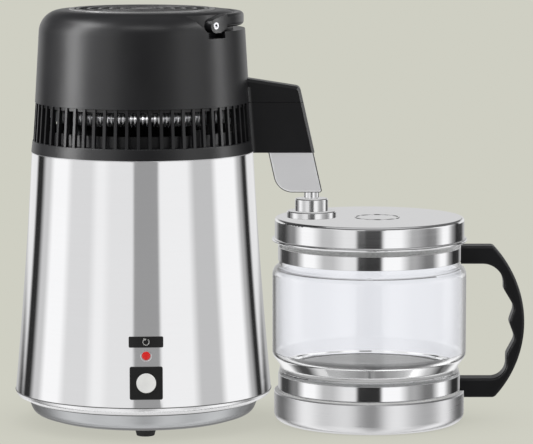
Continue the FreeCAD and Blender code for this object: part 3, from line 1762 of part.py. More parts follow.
def pod_nut():
    """Ring nut under the plug that holds the filter cup."""
    top = lid_top_height - lid_steel - plug_wall
    nut = slab(hex_corners(pod_nut_radius), top - pod_nut_height, top)
    nut = nut.cut(rod(pod_radius + running_gap, 0, top + 1))
    nut.translate(Vector(-filter_offset, 0, 0))
    return nut


BOILER_PIECES = [
    boiler_shell, inner_tank, base_ring, base_pan, rubber_feet, foot_screws, tie_rods, tie_nuts,
    heater_plate, heating_element, thermostat, terminal_block, switch_frame, switch_button, switch_body,
    reset_bezel, reset_button, thermal_cutout, label_plate, power_inlet, inlet_pins, fan_lead_socket,
    vent_ring, cover_screws, lead_gland, head_seal, head_tray, air_spreader, condenser_tube, condenser_fins,
    riser_nut, tube_union, outlet_tube, nozzle_cover, head_cover, top_grille, grille_screws, motor_bracket,
    bracket_screws, fan_motor, fan_rotor, carry_handle, handle_pins,
]
JUG_PIECES = [
    jug_glass, jug_base_cap, base_insert, base_disc, upper_band, lower_band, jug_handle, handle_screws,
    lid_shell, lid_plug, lid_seal, filter_flange, filter_collar, filter_pod, pod_nut,
]

os.makedirs("parts", exist_ok=True)
for piece in BOILER_PIECES:
    save(piece.__name__, piece(), boiler_x)
for piece in JUG_PIECES:
    save(piece.__name__, piece(), jug_x)
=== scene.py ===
"""Finishes, reset mark, studio and camera for a countertop water distiller.

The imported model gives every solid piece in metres. The classes below dress each sub-assembly, lay the
reset mark on its plate, and set up the studio.
"""

import logging
import math
from dataclasses import dataclass
from enum import Enum

import bmesh
import bpy
from mathutils import Matrix, Vector


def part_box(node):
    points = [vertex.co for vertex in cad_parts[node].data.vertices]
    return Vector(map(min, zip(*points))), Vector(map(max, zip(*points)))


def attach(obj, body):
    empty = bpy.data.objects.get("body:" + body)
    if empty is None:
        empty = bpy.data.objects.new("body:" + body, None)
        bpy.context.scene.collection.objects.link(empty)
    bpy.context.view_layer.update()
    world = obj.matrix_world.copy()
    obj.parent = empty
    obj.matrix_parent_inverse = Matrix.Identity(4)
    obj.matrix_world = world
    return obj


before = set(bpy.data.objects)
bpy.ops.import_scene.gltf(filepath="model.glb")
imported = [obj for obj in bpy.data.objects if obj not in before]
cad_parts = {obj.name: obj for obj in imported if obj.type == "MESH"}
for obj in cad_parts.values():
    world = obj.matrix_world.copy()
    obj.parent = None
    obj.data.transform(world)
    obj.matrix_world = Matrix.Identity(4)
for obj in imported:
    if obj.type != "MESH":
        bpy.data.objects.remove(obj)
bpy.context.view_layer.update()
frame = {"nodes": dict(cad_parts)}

log = logging.getLogger("distiller")

Colour = tuple[float, float, float]
Span = tuple[float, float]
Socket = bpy.types.NodeSocket


def axis_of(name: str) -> float:
    """Where the upright axis of a turned solid stands, in metres along X."""
    low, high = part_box(name)
    return (low[0] + high[0]) / 2


def edges_of(name: str) -> Span:
    """The lowest and highest height of a solid, in metres."""
    low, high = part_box(name)
    return low[2], high[2]


def rear_of(name: str) -> float:
    """How far back a solid reaches, in metres along Y."""
    _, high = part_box(name)
    return high[1]


def scaled(colour: Colour, factor: float) -> Colour:
    """A colour made darker or lighter, with no channel above 1."""
    return tuple(min(1.0, channel * factor) for channel in colour)


MILLIMETRE = 0.001
BOILER_AXIS = axis_of("base_ring")
JUG_AXIS = axis_of("jug_base_cap")
CUP_AXIS = axis_of("filter_flange")
NOZZLE_SIDE = rear_of("nozzle_cover")
STEEL = (0.83, 0.83, 0.84)
BLACK = (0.005, 0.005, 0.0055)
SEAM_SHADE_GREY = (0.05, 0.05, 0.05)
EDGE_SHADE_GREY = (0.06, 0.06, 0.06)
RIM_HIGHLIGHT_GREY = (0.12, 0.12, 0.12)
NOISE_SPAN = (0.3, 0.7)


class Lay(Enum):
    """Which way the fine lines of a metal finish run."""

    ROUND = "round"
    FLAT = "flat"


class NodeSheet:
    """A node tree and short calls that fill it."""

    def __init__(self, tree: bpy.types.NodeTree) -> None:
        """Take a tree.

        Args:
            tree: The node tree of a material or a world.
        """
        self.tree = tree

    def add(self, kind: str, **settings: object) -> bpy.types.Node:
        """Add a node.

        Args:
            kind: The node's type.
            **settings: Attributes to set on it.

        Returns:
            The new node.
        """
        node = self.tree.nodes.new(kind)
        for key, value in settings.items():
            setattr(node, key, value)
        return node

    def join(self, source: Socket, target: Socket) -> None:
        """Link two sockets."""
        self.tree.links.new(source, target)

    def feed(self, value: Socket | float | Colour, target: Socket) -> None:
        """Give a socket its value.

        Args:
            value: Another socket to link to it, a number or a colour.
            target: The socket that takes it.
        """
        if isinstance(value, bpy.types.NodeSocket):
            self.join(value, target)
        elif isinstance(value, tuple):
            target.default_value = (*value, 1.0)
        else:
            target.default_value = value

    def math(self, operation: str, first: Socket | float, second: Socket | float = 0.0) -> Socket:
        """Add a Math node.

        Args:
            operation: The Math node's operation.
            first: A socket or a number.
            second: A socket or a number.

        Returns:
            The node's output.
        """
        node = self.add("ShaderNodeMath", operation=operation)
        for value, target in zip((first, second), node.inputs):
            self.feed(value, target)
        return node.outputs[0]

    def vector(self, x: Socket | float, y: Socket | float, z: Socket | float) -> Socket:
        """Combine three values into a vector.

        Args:
            x: A socket or a number.
            y: A socket or a number.
            z: A socket or a number.

        Returns:
            The vector.
        """
        node = self.add("ShaderNodeCombineXYZ")
        for value, target in zip((x, y, z), node.inputs):
            self.feed(value, target)
        return node.outputs[0]

    def remap(self, value: Socket, span: Span, onto: Span, course: str) -> Socket:
        """Carry a value from one range over to another.

        Args:
            value: The value.
            span: The range it is read in.
            onto: The range it is carried to.
            course: How it changes in between, as the Map Range node names it.

        Returns:
            The resulting value.
        """
        node = self.add("ShaderNodeMapRange", interpolation_type=course)
        self.join(value, node.inputs["Value"])
        for name, number in zip(("From Min", "From Max", "To Min", "To Max"), (*span, *onto)):
            node.inputs[name].default_value = number
        return node.outputs["Result"]

    def fade(self, value: Socket, start: float, end: float, low: float = 0.0, high: float = 1.0) -> Socket:
        """Go smoothly from one number to another while a value goes from start to end.

        Args:
            value: The value to follow.
            start: Where the change starts.
            end: Where it ends.
            low: The number before it.
            high: The number after it.

        Returns:
            The resulting value.
        """
        return self.remap(value, (start, end), (low, high), "SMOOTHSTEP")

    def mix(self, share: Socket, first: Socket, second: Socket) -> Socket:
        """Mix two values.

        Args:
            share: How much of the second value, from 0 to 1.
            first: A value.
            second: A value.

        Returns:
            The mixed value.
        """
        rest = self.math("SUBTRACT", 1.0, share)
        return self.math("ADD", self.math("MULTIPLY", first, rest), self.math("MULTIPLY", second, share))

    def blend(self, share: Socket, first: Socket | Colour, second: Socket | Colour) -> Socket:
        """Mix two colours.

        Args:
            share: How much of the second colour, from 0 to 1.
            first: A socket or a colour.
            second: A socket or a colour.

        Returns:
            The mixed colour.
        """
        node = self.add("ShaderNodeMix", data_type="RGBA")
        self.join(share, node.inputs["Factor"])
        for key, value in (("A_Color", first), ("B_Color", second)):
            self.feed(value, next(socket for socket in node.inputs if socket.identifier == key))
        return next(socket for socket in node.outputs if socket.identifier == "Result_Color")

    def place(self) -> tuple[Socket, Socket, Socket]:
        """Position on the piece, in metres.

        Returns:
            Sockets for X, Y and Z.
        """
        coordinates = self.add("ShaderNodeTexCoord")
        parts = self.add("ShaderNodeSeparateXYZ")
        self.join(coordinates.outputs["Object"], parts.inputs[0])
        return parts.outputs[0], parts.outputs[1], parts.outputs[2]

    def around(self, axis_x: float) -> tuple[Socket, Socket, Socket]:
        """Angle, radius and height about an upright axis.

        Args:
            axis_x: Where the axis stands, in metres.

        Returns:
            Sockets for the angle in radians, the radius and the height.
        """
        x, y, z = self.place()
        across = self.math("SUBTRACT", x, axis_x)
        angle = self.math("ARCTAN2", y, across)
        square = self.math("ADD", self.math("MULTIPLY", across, across), self.math("MULTIPLY", y, y))
        return angle, self.math("SQRT", square), z

    def noise(self, vector: Socket, scale: float, detail: float = 2.0) -> Socket:
        """Noise between 0 and 1.

        Args:
            vector: Where to read it.
            scale: Its scale.
            detail: Its octaves.

        Returns:
            The noise value.
        """
        node = self.add("ShaderNodeTexNoise")
        node.inputs["Scale"].default_value = scale
        node.inputs["Detail"].default_value = detail
        self.join(vector, node.inputs["Vector"])
        return node.outputs["Fac"]


class SurfaceSheet(NodeSheet):
    """One material and its shader."""

    edge_samples: int = 6
    sharp_edge: float = 0.80
    flat_face: float = 0.98
    outline_width: float = 0.3

    def __init__(self, name: str) -> None:
        """Start a material.

        Args:
            name: The material's name.
        """
        self.material = bpy.data.materials.new(name)
        self.material.use_nodes = True
        super().__init__(self.material.node_tree)
        self.shader = self.tree.nodes["Principled BSDF"]

    def shade(self, value: Socket, dark: Colour, light: Colour) -> Socket:
        """Go between two colours by a noise value.

        Args:
            value: The noise value.
            dark: The colour at its low end.
            light: The colour at its high end.

        Returns:
            The colour.
        """
        ramp = self.add("ShaderNodeValToRGB")
        for element, position, colour in zip(ramp.color_ramp.elements, NOISE_SPAN, (dark, light)):
            element.position = position
            element.color = (*colour, 1.0)
        self.join(value, ramp.inputs["Fac"])
        return ramp.outputs["Color"]

    def paint(self, colour: Socket) -> None:
        """Give the surface a colour."""
        self.join(colour, self.shader.inputs["Base Color"])

    def roughen(self, value: Socket, low: float, high: float) -> None:
        """Let the roughness follow a noise value.

        Args:
            value: The noise value.
            low: The roughness at its low end.
            high: The roughness at its high end.
        """
        self.join(self.remap(value, NOISE_SPAN, (low, high), "LINEAR"), self.shader.inputs["Roughness"])

    def bump(self, height: Socket, distance: float) -> None:
        """Raise the surface by a height.

        Args:
            height: A value from 0 to 1.
            distance: Its depth in metres.
        """
        node = self.add("ShaderNodeBump")
        node.inputs["Distance"].default_value = distance
        node.inputs["Strength"].default_value = 1.0
        self.join(height, node.inputs["Height"])
        self.join(node.outputs["Normal"], self.shader.inputs["Normal"])

    def near_edge(self, width: float) -> Socket:
        """How near a sharp edge of the piece is, from 0 away from it to 1 on it.

        Args:
            width: How far from the edge it begins, in metres.

        Returns:
            The nearness as a value.
        """
        rounded = self.add("ShaderNodeBevel", samples=self.edge_samples)
        rounded.inputs["Radius"].default_value = width
        actual = self.add("ShaderNodeNewGeometry")
        alike = self.add("ShaderNodeVectorMath", operation="DOT_PRODUCT")
        self.join(rounded.outputs["Normal"], alike.inputs[0])
        self.join(actual.outputs["Normal"], alike.inputs[1])
        return self.fade(alike.outputs["Value"], self.sharp_edge, self.flat_face, 1.0, 0.0)

    def turned_away(self, start: float) -> Socket:
        """How far the surface turns away from the viewer, from 0 to 1 at its outline.

        Args:
            start: Where it begins, as 1 less the cosine of the angle to the viewer.

        Returns:
            The turn as a value.
        """
        node = self.add("ShaderNodeLayerWeight")
        node.inputs["Blend"].default_value = 0.5
        return self.fade(node.outputs["Facing"], start, start + self.outline_width)

    def set(self, **values: float) -> None:
        """Set numbers on the shader's own sockets, named with underscores for spaces."""
        for key, value in values.items():
            self.shader.inputs[key.replace("_", " ")].default_value = value


@dataclass(frozen=True)
class Finish:
    """A finish that can be put on a piece."""

    name: str

    def build(self) -> bpy.types.Material:
        """Make the material."""
        raise NotImplementedError


@dataclass(frozen=True)
class DrawnSteel(Finish):
    """Steel, aluminium or brass with fine drawn or spun lines.

    Attributes:
        colour: The metal's colour.
        roughness: Its mean roughness.
        axis_x: Where the axis stands that spun lines run round, in metres.
        lay: Which way the lines run.
        lines: How close together they lie.
        depth: How deep they are, in metres.
        cloud: How much the colour varies.
        shaded_seams: Heights at which the colour takes a line of painted shade where parts meet, in metres.
        edge: How far from a sharp edge the painted shade along it reaches, in metres.
        outline: How far the surface has turned away from the viewer where painted shade starts.
        creases: From where to where rounded edges take painted shade, in metres to both sides of the XZ
            plane.
        turns: How short the spun lines are.
        run: How short the flat lines are.
        line_share: How much of the variation comes from the lines, the rest from the cloud.
        cloud_scale: How fine the cloud is.
        uneven: How much the roughness varies.
        seam_shade_width: How far from a seam's height its darkness ends, in metres.
        crease_fade: How far a crease's painted shade takes to set in, in metres.
    """

    colour: Colour = (0.80, 0.80, 0.81)
    roughness: float = 0.22
    axis_x: float = BOILER_AXIS
    lay: Lay = Lay.ROUND
    lines: float = 1400.0
    depth: float = 0.0000035
    cloud: float = 0.03
    shaded_seams: tuple[float, ...] = ()
    edge: float = 0.0
    outline: float = 0.0
    creases: tuple[float, ...] = ()
    turns: float = 1.6
    run: float = 30.0
    line_share: float = 0.6
    cloud_scale: float = 22.0
    uneven: float = 0.12
    seam_shade_width: float = 0.0010
    crease_fade: float = 0.0003

    def along(self, sheet: SurfaceSheet) -> Socket:
        """Where the noise of the lines is read, drawn out the way they run.

        Args:
            sheet: The material's nodes.

        Returns:
            The place as a vector.
        """
        if self.lay is Lay.ROUND:
            (length, across, over), stretch = sheet.around(self.axis_x), self.turns
        else:
            (length, across, over), stretch = sheet.place(), self.run
        return sheet.vector(sheet.math("MULTIPLY", length, stretch),
                            sheet.math("MULTIPLY", across, self.lines),
                            sheet.math("MULTIPLY", over, self.lines))

    def with_painted_shade(self, sheet: SurfaceSheet, colour: Socket, y: Socket, z: Socket) -> Socket:
        """Darken a colour with painted shade at the seam lines, sharp edges, rounded edges and outline that
        the finish has.

        Args:
            sheet: The material's nodes.
            colour: The colour.
            y: The distance from the XZ plane, in metres.
            z: The height in metres.

        Returns:
            The darkened colour.
        """
        # Painted shade: a dark line at each seam height, where parts meet.
        for height in self.shaded_seams:
            away = sheet.math("ABSOLUTE", sheet.math("SUBTRACT", z, height))
            seam = sheet.fade(away, self.seam_shade_width / 2, self.seam_shade_width, 1.0, 0.0)
            colour = sheet.blend(seam, colour, SEAM_SHADE_GREY)
        # Painted shade: a dark line along the piece's sharp edges and grooves.
        if self.edge:
            colour = sheet.blend(sheet.near_edge(self.edge), colour, EDGE_SHADE_GREY)
        # Painted shade: rounded edges between the two distances from the XZ plane go dark.
        if self.creases:
            near, far = self.creases
            away = sheet.math("ABSOLUTE", y)
            crease = sheet.math("MULTIPLY", sheet.fade(away, near - self.crease_fade, near),
                                sheet.fade(away, far - self.crease_fade, far, 1.0, 0.0))
            colour = sheet.blend(crease, colour, EDGE_SHADE_GREY)
        # Painted shade: the colour goes dark towards the outline, as the surface turns from the viewer.
        if self.outline:
            colour = sheet.blend(sheet.turned_away(self.outline), colour, EDGE_SHADE_GREY)
        return colour

    def build(self) -> bpy.types.Material:
        """Make the material: lines in colour, roughness and relief, a soft cloud over them and painted shade
        at seam lines and edges.

        Returns:
            The material.
        """
        sheet = SurfaceSheet(self.name)
        x, y, z = sheet.place()
        lines = sheet.noise(self.along(sheet), scale=1.0)
        cloud = sheet.noise(sheet.vector(x, y, z), self.cloud_scale, detail=3.0)
        mixed = sheet.math("ADD", sheet.math("MULTIPLY", lines, self.line_share),
                           sheet.math("MULTIPLY", cloud, 1.0 - self.line_share))
        dark, light = scaled(self.colour, 1.0 - self.cloud), scaled(self.colour, 1.0 + self.cloud)
        sheet.paint(self.with_painted_shade(sheet, sheet.shade(mixed, dark, light), y, z))
        sheet.roughen(mixed, self.roughness * (1.0 - self.uneven), self.roughness * (1.0 + self.uneven))
        sheet.bump(lines, self.depth)
        sheet.set(Metallic=1.0)
        return sheet.material


@dataclass(frozen=True)
class MouldedPlastic(Finish):
    """Moulded plastic with a fine grain.

    Attributes:
        colour: The plastic's colour.
        roughness: Its mean roughness.
        specular: How strongly it mirrors.
        coat: How much gloss lies over it.
        rim: The radius about the boiler's axis from which the colour is lighter, a painted highlight, in
            metres, or 0.
        grain: How fine the grain is.
        depth: How deep it is, in metres.
        flow: How fine the slow variation is.
        shading: How much the colour varies.
        uneven: How much the roughness varies.
        rim_fade: How far the painted highlight takes to set in, in metres.
    """

    colour: Colour = (0.030, 0.030, 0.032)
    roughness: float = 0.42
    specular: float = 0.5
    coat: float = 0.0
    rim: float = 0.0
    grain: float = 2600.0
    depth: float = 0.000012
    flow: float = 35.0
    shading: float = 0.10
    uneven: float = 0.08
    rim_fade: float = 0.0003

    def build(self) -> bpy.types.Material:
        """Make the material: grain in relief, slow variation in colour and roughness, a painted highlight on
        the outer edge.

        Returns:
            The material.
        """
        sheet = SurfaceSheet(self.name)
        where = sheet.vector(*sheet.place())
        grain = sheet.noise(where, self.grain)
        flow = sheet.noise(where, self.flow, detail=3.0)
        dark, light = scaled(self.colour, 1.0 - self.shading), scaled(self.colour, 1.0 + self.shading)
        colour = sheet.shade(flow, dark, light)
        # Painted highlight: the colour goes lighter outside the given radius.
        if self.rim:
            _, radius, _ = sheet.around(BOILER_AXIS)
            colour = sheet.blend(sheet.fade(radius, self.rim - self.rim_fade, self.rim), colour, RIM_HIGHLIGHT_GREY)
        sheet.paint(colour)
        mixed = sheet.math("ADD", sheet.math("MULTIPLY", grain, 0.5), sheet.math("MULTIPLY", flow, 0.5))
        sheet.roughen(mixed, self.roughness * (1.0 - self.uneven), self.roughness * (1.0 + self.uneven))
        sheet.bump(grain, self.depth)
        sheet.set(Specular_IOR_Level=self.specular)
        if self.coat:
            sheet.set(Coat_Weight=self.coat, Coat_Roughness=0.08)
        return sheet.material


@dataclass(frozen=True)
class SoftRubber(Finish):
    """Rubber or silicone with a dusty surface.

    Attributes:
        colour: The rubber's colour.
        roughness: Its mean roughness.
        clear: How much light goes through it.
        mottle: How fine the dust is.
        depth: How deep its relief is, in metres.
        shading: The darkest and lightest share of the colour.
        polish: The smoothest and roughest share of the roughness.
    """

    colour: Colour = (0.03, 0.03, 0.03)
    roughness: float = 0.7
    clear: float = 0.0
    mottle: float = 420.0
    depth: float = 0.00003
    shading: Span = (0.85, 1.2)
    polish: Span = (0.9, 1.15)

    def build(self) -> bpy.types.Material:
        """Make the material: mottled colour, broken roughness and a soft relief.

        Returns:
            The material.
        """
        sheet = SurfaceSheet(self.name)
        mottle = sheet.noise(sheet.vector(*sheet.place()), self.mottle, detail=4.0)
        dark, light = self.shading
        sheet.paint(sheet.shade(mottle, scaled(self.colour, dark), scaled(self.colour, light)))
        smooth, rough = self.polish
        sheet.roughen(mottle, self.roughness * smooth, self.roughness * rough)
        sheet.bump(mottle, self.depth)
        sheet.set(Specular_IOR_Level=0.35, Transmission_Weight=self.clear)
        return sheet.material


@dataclass(frozen=True)
class BlownGlass(Finish):
    """Clear borosilicate glass with the slow ripple of a blown wall.

    Attributes:
        colour: What the glass lets through.
        dim: The darkest share of it.
        haze: The highest roughness.
        ripple: How deep the ripple is, in metres.
        turns: How many times it rises and falls round the wall.
        rise: How fine it is up the wall.
    """

    colour: Colour = (0.975, 0.98, 0.99)
    dim: float = 0.995
    haze: float = 0.02
    ripple: float = 0.00004
    turns: float = 2.0
    rise: float = 9.0

    def build(self) -> bpy.types.Material:
        """Make the material: clear, nearly smooth, with a slow ripple in relief.

        Returns:
            The material.
        """
        sheet = SurfaceSheet(self.name)
        angle, _, height = sheet.around(JUG_AXIS)
        where = sheet.vector(sheet.math("MULTIPLY", angle, self.turns),
                             sheet.math("MULTIPLY", height, self.rise), 0.0)
        ripple = sheet.noise(where, scale=1.0, detail=1.0)
        sheet.paint(sheet.shade(ripple, scaled(self.colour, self.dim), self.colour))
        sheet.roughen(ripple, 0.0, self.haze)
        sheet.bump(ripple, self.ripple)
        sheet.set(Transmission_Weight=1.0, IOR=1.47)
        return sheet.material


ZINC = DrawnSteel("zinc_steel", (0.60, 0.60, 0.60), 0.38, lay=Lay.FLAT)
RESIN = MouldedPlastic("resin_plastic", (0.035, 0.032, 0.030), 0.4)
SILICONE = SoftRubber("silicone", (0.75, 0.75, 0.73), 0.5, 0.3)
BRASS = (0.78, 0.58, 0.26)


class CadParts:
    """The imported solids, dressed by name."""

    def __init__(self, nodes: dict[str, bpy.types.Object]) -> None:
        """Keep the solids.

        Args:
            nodes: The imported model's objects by name.
        """
        self.nodes = nodes
        self.made: dict[Finish, bpy.types.Material] = {}

    def material(self, finish: Finish) -> bpy.types.Material:
        """Look up a finish's material, which is made once.

        Args:
            finish: The finish.

        Returns:
            Its material.
        """
        if finish not in self.made:
            self.made[finish] = finish.build()
        return self.made[finish]

    def dress(self, finish: Finish, *names: str) -> None:
        """Put a finish on solids.

        Args:
            finish: The finish.
            *names: The solids' names.
        """
        material = self.material(finish)
        for name in names:
            slots = self.nodes[name].data.materials
            if len(slots):
                slots[0] = material
            else:
                slots.append(material)
            log.info("%s: %s", name, finish.name)

    def calm(self, mirrored: tuple[str, ...]) -> None:
        """Keep the solids out of each other's reflections, so that each mirrors the studio alone.

        Args:
            mirrored: The solids that still show in the others.
        """
        for name, piece in self.nodes.items():
            piece.visible_glossy = name in mirrored


@dataclass
class Boiler:
    """Tapered shell, tank, trim ring, pan, feet and heater."""

    shell: Finish = DrawnSteel("shell_steel", STEEL, 0.07, lines=900.0, depth=0.0000001, cloud=0.008)
    tank: Finish = DrawnSteel("tank_steel", (0.70, 0.70, 0.71), 0.30)
    # The ring takes painted shade lines at its top and bottom and along its sharp edges.
    ring: Finish = DrawnSteel("ring_steel", (0.90, 0.90, 0.91), 0.25, depth=0.0000008,
                              shaded_seams=edges_of("base_ring"), edge=0.0006)
    # The pan takes painted shade lines at its top and bottom and towards its outline.
    pan: Finish = DrawnSteel("pan_steel", (0.55, 0.56, 0.57), 0.34, depth=0.0000008,
                             shaded_seams=edges_of("base_pan"), outline=0.50)
    feet: Finish = SoftRubber("foot_rubber", (0.018, 0.018, 0.018), 0.6)
    heater: Finish = DrawnSteel("heater_aluminium", (0.72, 0.72, 0.73), 0.45)
    element: Finish = DrawnSteel("element_steel", (0.36, 0.33, 0.31), 0.5, lay=Lay.FLAT, cloud=0.2)
    terminals: Finish = MouldedPlastic("terminal_plastic", (0.68, 0.67, 0.62), 0.45)

    def dress(self, parts: CadParts) -> None:
        """Put the finishes on.

        Args:
            parts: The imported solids.
        """
        parts.dress(self.shell, "boiler_shell")
        parts.dress(self.tank, "inner_tank")
        parts.dress(self.ring, "base_ring")
        parts.dress(self.pan, "base_pan")
        parts.dress(self.feet, "rubber_feet")
        parts.dress(self.heater, "heater_plate")
        parts.dress(self.element, "heating_element")
        parts.dress(self.terminals, "terminal_block")
        parts.dress(RESIN, "thermal_cutout")
        parts.dress(ZINC, "foot_screws", "tie_rods", "tie_nuts", "thermostat")


@dataclass
class Controls:
    """Power button, reset button, label plate and the sockets at the back."""

    plates: Finish = MouldedPlastic("switch_black", (0.005, 0.005, 0.005), 0.35, specular=0.25)
    power: Finish = MouldedPlastic("button_white", (0.93, 0.93, 0.94), 0.35)
    reset: Finish = MouldedPlastic("button_red", (0.74, 0.012, 0.010), 0.2, coat=0.2)
    bezel: Finish = DrawnSteel("bezel_chrome", (0.86, 0.86, 0.87), 0.1, lay=Lay.FLAT)
    blades: Finish = DrawnSteel("blade_brass", BRASS, 0.3, lay=Lay.FLAT)

    def dress(self, parts: CadParts) -> None:
        """Put the finishes on.

        Args:
            parts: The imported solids.
        """
        parts.dress(self.plates, "switch_frame", "label_plate")
        parts.dress(self.power, "switch_button")
        parts.dress(self.reset, "reset_button")
        parts.dress(self.bezel, "reset_bezel")
        parts.dress(self.blades, "inlet_pins")
        parts.dress(RESIN, "switch_body", "power_inlet", "fan_lead_socket")


@dataclass
class ResetMark:
    """Painted circular arrow on the label plate. Sizes are in millimetres.

    Attributes:
        radius: The arrow's mean radius.
        stroke: How wide its line is.
        open_degrees: How much of the circle is left open.
        head: Half the width of its head.
        tip: The head's length as a multiple of that.
        steps: How many faces the line has.
        thickness: How thick the paint is meant to be. It only raises the mark, whose mesh comes out flat.
        clearance: How much further it is raised, to stay clear of the plate.
        strip: Half the width of the plate's middle strip, over which its face is measured.
        front: The most that the plate's front faces point along Y.
        paint: The paint's finish.
    """

    radius: float = 2.7
    stroke: float = 0.8
    open_degrees: float = 75.0
    head: float = 1.5
    tip: float = 1.4
    steps: int = 36
    thickness: float = 0.05
    clearance: float = 0.02
    strip: float = 4.0
    front: float = -0.9
    paint: Finish = MouldedPlastic("mark_paint", (0.72, 0.72, 0.72), 0.5)

    def spot(self, sheet: bmesh.types.BMesh, radius: float, angle: float) -> bmesh.types.BMVert:
        """Add a corner to the flat mesh, at a radius and an angle in radians."""
        return sheet.verts.new((radius * math.cos(angle), radius * math.sin(angle), 0.0))

    def outline(self) -> bmesh.types.BMesh:
        """Draw the arrow about the origin.

        Returns:
            The arrow as a flat mesh.
        """
        sheet = bmesh.new()
        start = math.radians(90.0 - self.open_degrees / 2)
        sweep = math.radians(360.0 - self.open_degrees)
        inner, outer = self.radius - self.stroke / 2, self.radius + self.stroke / 2
        angles = [start - sweep * step / self.steps for step in range(self.steps + 1)]
        rows = [(self.spot(sheet, inner, angle), self.spot(sheet, outer, angle)) for angle in angles]
        for first, second in zip(rows, rows[1:]):
            sheet.faces.new((first[0], first[1], second[1], second[0]))
        end = start - sweep
        point = end - self.head * self.tip / self.radius
        corners = [(self.radius - self.head, end), (self.radius, point), (self.radius + self.head, end)]
        sheet.faces.new([self.spot(sheet, radius, angle) for radius, angle in corners])
        return sheet

    def seat(self, plate: bpy.types.Object) -> Matrix:
        """Find the place in the middle of the plate's front face, upright and just proud of it.

        Args:
            plate: The label plate.

        Returns:
            The place, with the change from millimetres to metres.
        """
        turned = plate.matrix_world.to_3x3()
        fronts = [face for face in plate.data.polygons if (turned @ face.normal).y < self.front]
        area = sum(face.area for face in fronts)
        middle = sum((plate.matrix_world @ face.center * face.area for face in fronts), Vector()) / area
        facing = sum((turned @ face.normal * face.area for face in fronts), Vector()).normalized()
        right = Vector((0.0, 0.0, 1.0)).cross(facing).normalized()
        turn = Matrix((right, facing.cross(right), facing)).transposed().to_4x4()
        corners = [plate.matrix_world @ vertex.co - middle for vertex in plate.data.vertices]
        strip = self.strip * MILLIMETRE
        proud = max(corner.dot(facing) for corner in corners if abs(corner.dot(right)) < strip)
        lift = facing * (proud + (self.thickness + self.clearance) * MILLIMETRE)
        return Matrix.Translation(middle + lift) @ turn @ Matrix.Scale(MILLIMETRE, 4)

    def dress(self, parts: CadParts) -> None:
        """Lay the arrow on the plate's face.

        Args:
            parts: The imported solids.
        """
        sheet = self.outline()
        # The new faces have no normals here, so this doubles the sheet in place and adds no thickness.
        # A call of sheet.normal_update() before it would give the paint its thickness.
        bmesh.ops.solidify(sheet, geom=sheet.faces[:], thickness=self.thickness)
        bmesh.ops.recalc_face_normals(sheet, faces=sheet.faces[:])
        mesh = bpy.data.meshes.new("reset_mark")
        sheet.to_mesh(mesh)
        sheet.free()
        mesh.materials.append(parts.material(self.paint))
        mark = bpy.data.objects.new("reset_mark", mesh)
        mark.matrix_world = self.seat(parts.nodes["label_plate"])
        bpy.context.scene.collection.objects.link(mark)
        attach(mark, "boiler")
        log.info("reset_mark: %s", self.paint.name)


@dataclass
class Head:
    """Vent ring, cover, grille, fan and carry handle."""

    cover: Finish = MouldedPlastic("head_plastic", BLACK, 0.34, specular=0.18)
    # The grille's outer ring takes a painted highlight.
    guard: Finish = MouldedPlastic("grille_plastic", (0.02, 0.02, 0.02), 0.30, specular=0.35, rim=0.0640)
    bail: Finish = MouldedPlastic("bail_plastic", BLACK, 0.30, specular=0.22)
    fan: Finish = MouldedPlastic("fan_plastic", (0.003, 0.003, 0.003), 0.6, specular=0.08)
    motor: Finish = DrawnSteel("motor_steel", (0.42, 0.42, 0.43), 0.4)
    pins: Finish = DrawnSteel("pin_steel", (0.30, 0.30, 0.31), 0.40, lay=Lay.FLAT)
    gland: Finish = SoftRubber("gland_rubber", (0.02, 0.02, 0.02), 0.6)

    def dress(self, parts: CadParts) -> None:
        """Put the finishes on.

        Args:
            parts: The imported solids.
        """
        parts.dress(self.cover, "head_cover", "vent_ring")
        parts.dress(self.guard, "top_grille")
        parts.dress(self.bail, "carry_handle")
        # The air_spreader is a black piece that stands in for the shade inside the head, seen through the
        # vents.
        parts.dress(self.fan, "fan_rotor", "air_spreader")
        parts.dress(self.motor, "fan_motor")
        parts.dress(self.pins, "handle_pins")
        parts.dress(self.gland, "lead_gland")
        parts.dress(ZINC, "motor_bracket", "bracket_screws", "cover_screws", "grille_screws")


@dataclass
class Condenser:
    """Tray, finned tube, outlet tube and nozzle."""

    tube: Finish = DrawnSteel("tube_steel", (0.30, 0.30, 0.31), 0.35, lay=Lay.FLAT)
    outlet: Finish = DrawnSteel("outlet_steel", (0.84, 0.84, 0.85), 0.16, lay=Lay.FLAT)
    fins: Finish = DrawnSteel("fin_aluminium", (0.90, 0.90, 0.91), 0.35, lay=Lay.FLAT)
    # Painted shade: the tray's steel is darkened so the head's inside reads black through the vents.
    tray: Finish = DrawnSteel("tray_steel_painted_shade", (0.10, 0.10, 0.105), 0.4)
    nuts: Finish = DrawnSteel("nut_brass", BRASS, 0.3, lay=Lay.FLAT)
    # The nozzle's rounded side edges take painted shade.
    nozzle: Finish = DrawnSteel("nozzle_steel", (0.95, 0.95, 0.96), 0.5, lay=Lay.FLAT, depth=0.0000005,
                                cloud=0.01,
                                creases=(NOZZLE_SIDE - 2.0 * MILLIMETRE, NOZZLE_SIDE - 0.2 * MILLIMETRE))

    def dress(self, parts: CadParts) -> None:
        """Put the finishes on.

        Args:
            parts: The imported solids.
        """
        parts.dress(self.tube, "condenser_tube")
        parts.dress(self.outlet, "outlet_tube")
        parts.dress(self.fins, "condenser_fins")
        parts.dress(self.tray, "head_tray")
        parts.dress(self.nuts, "riser_nut", "tube_union")
        parts.dress(self.nozzle, "nozzle_cover")
        parts.dress(SILICONE, "head_seal")


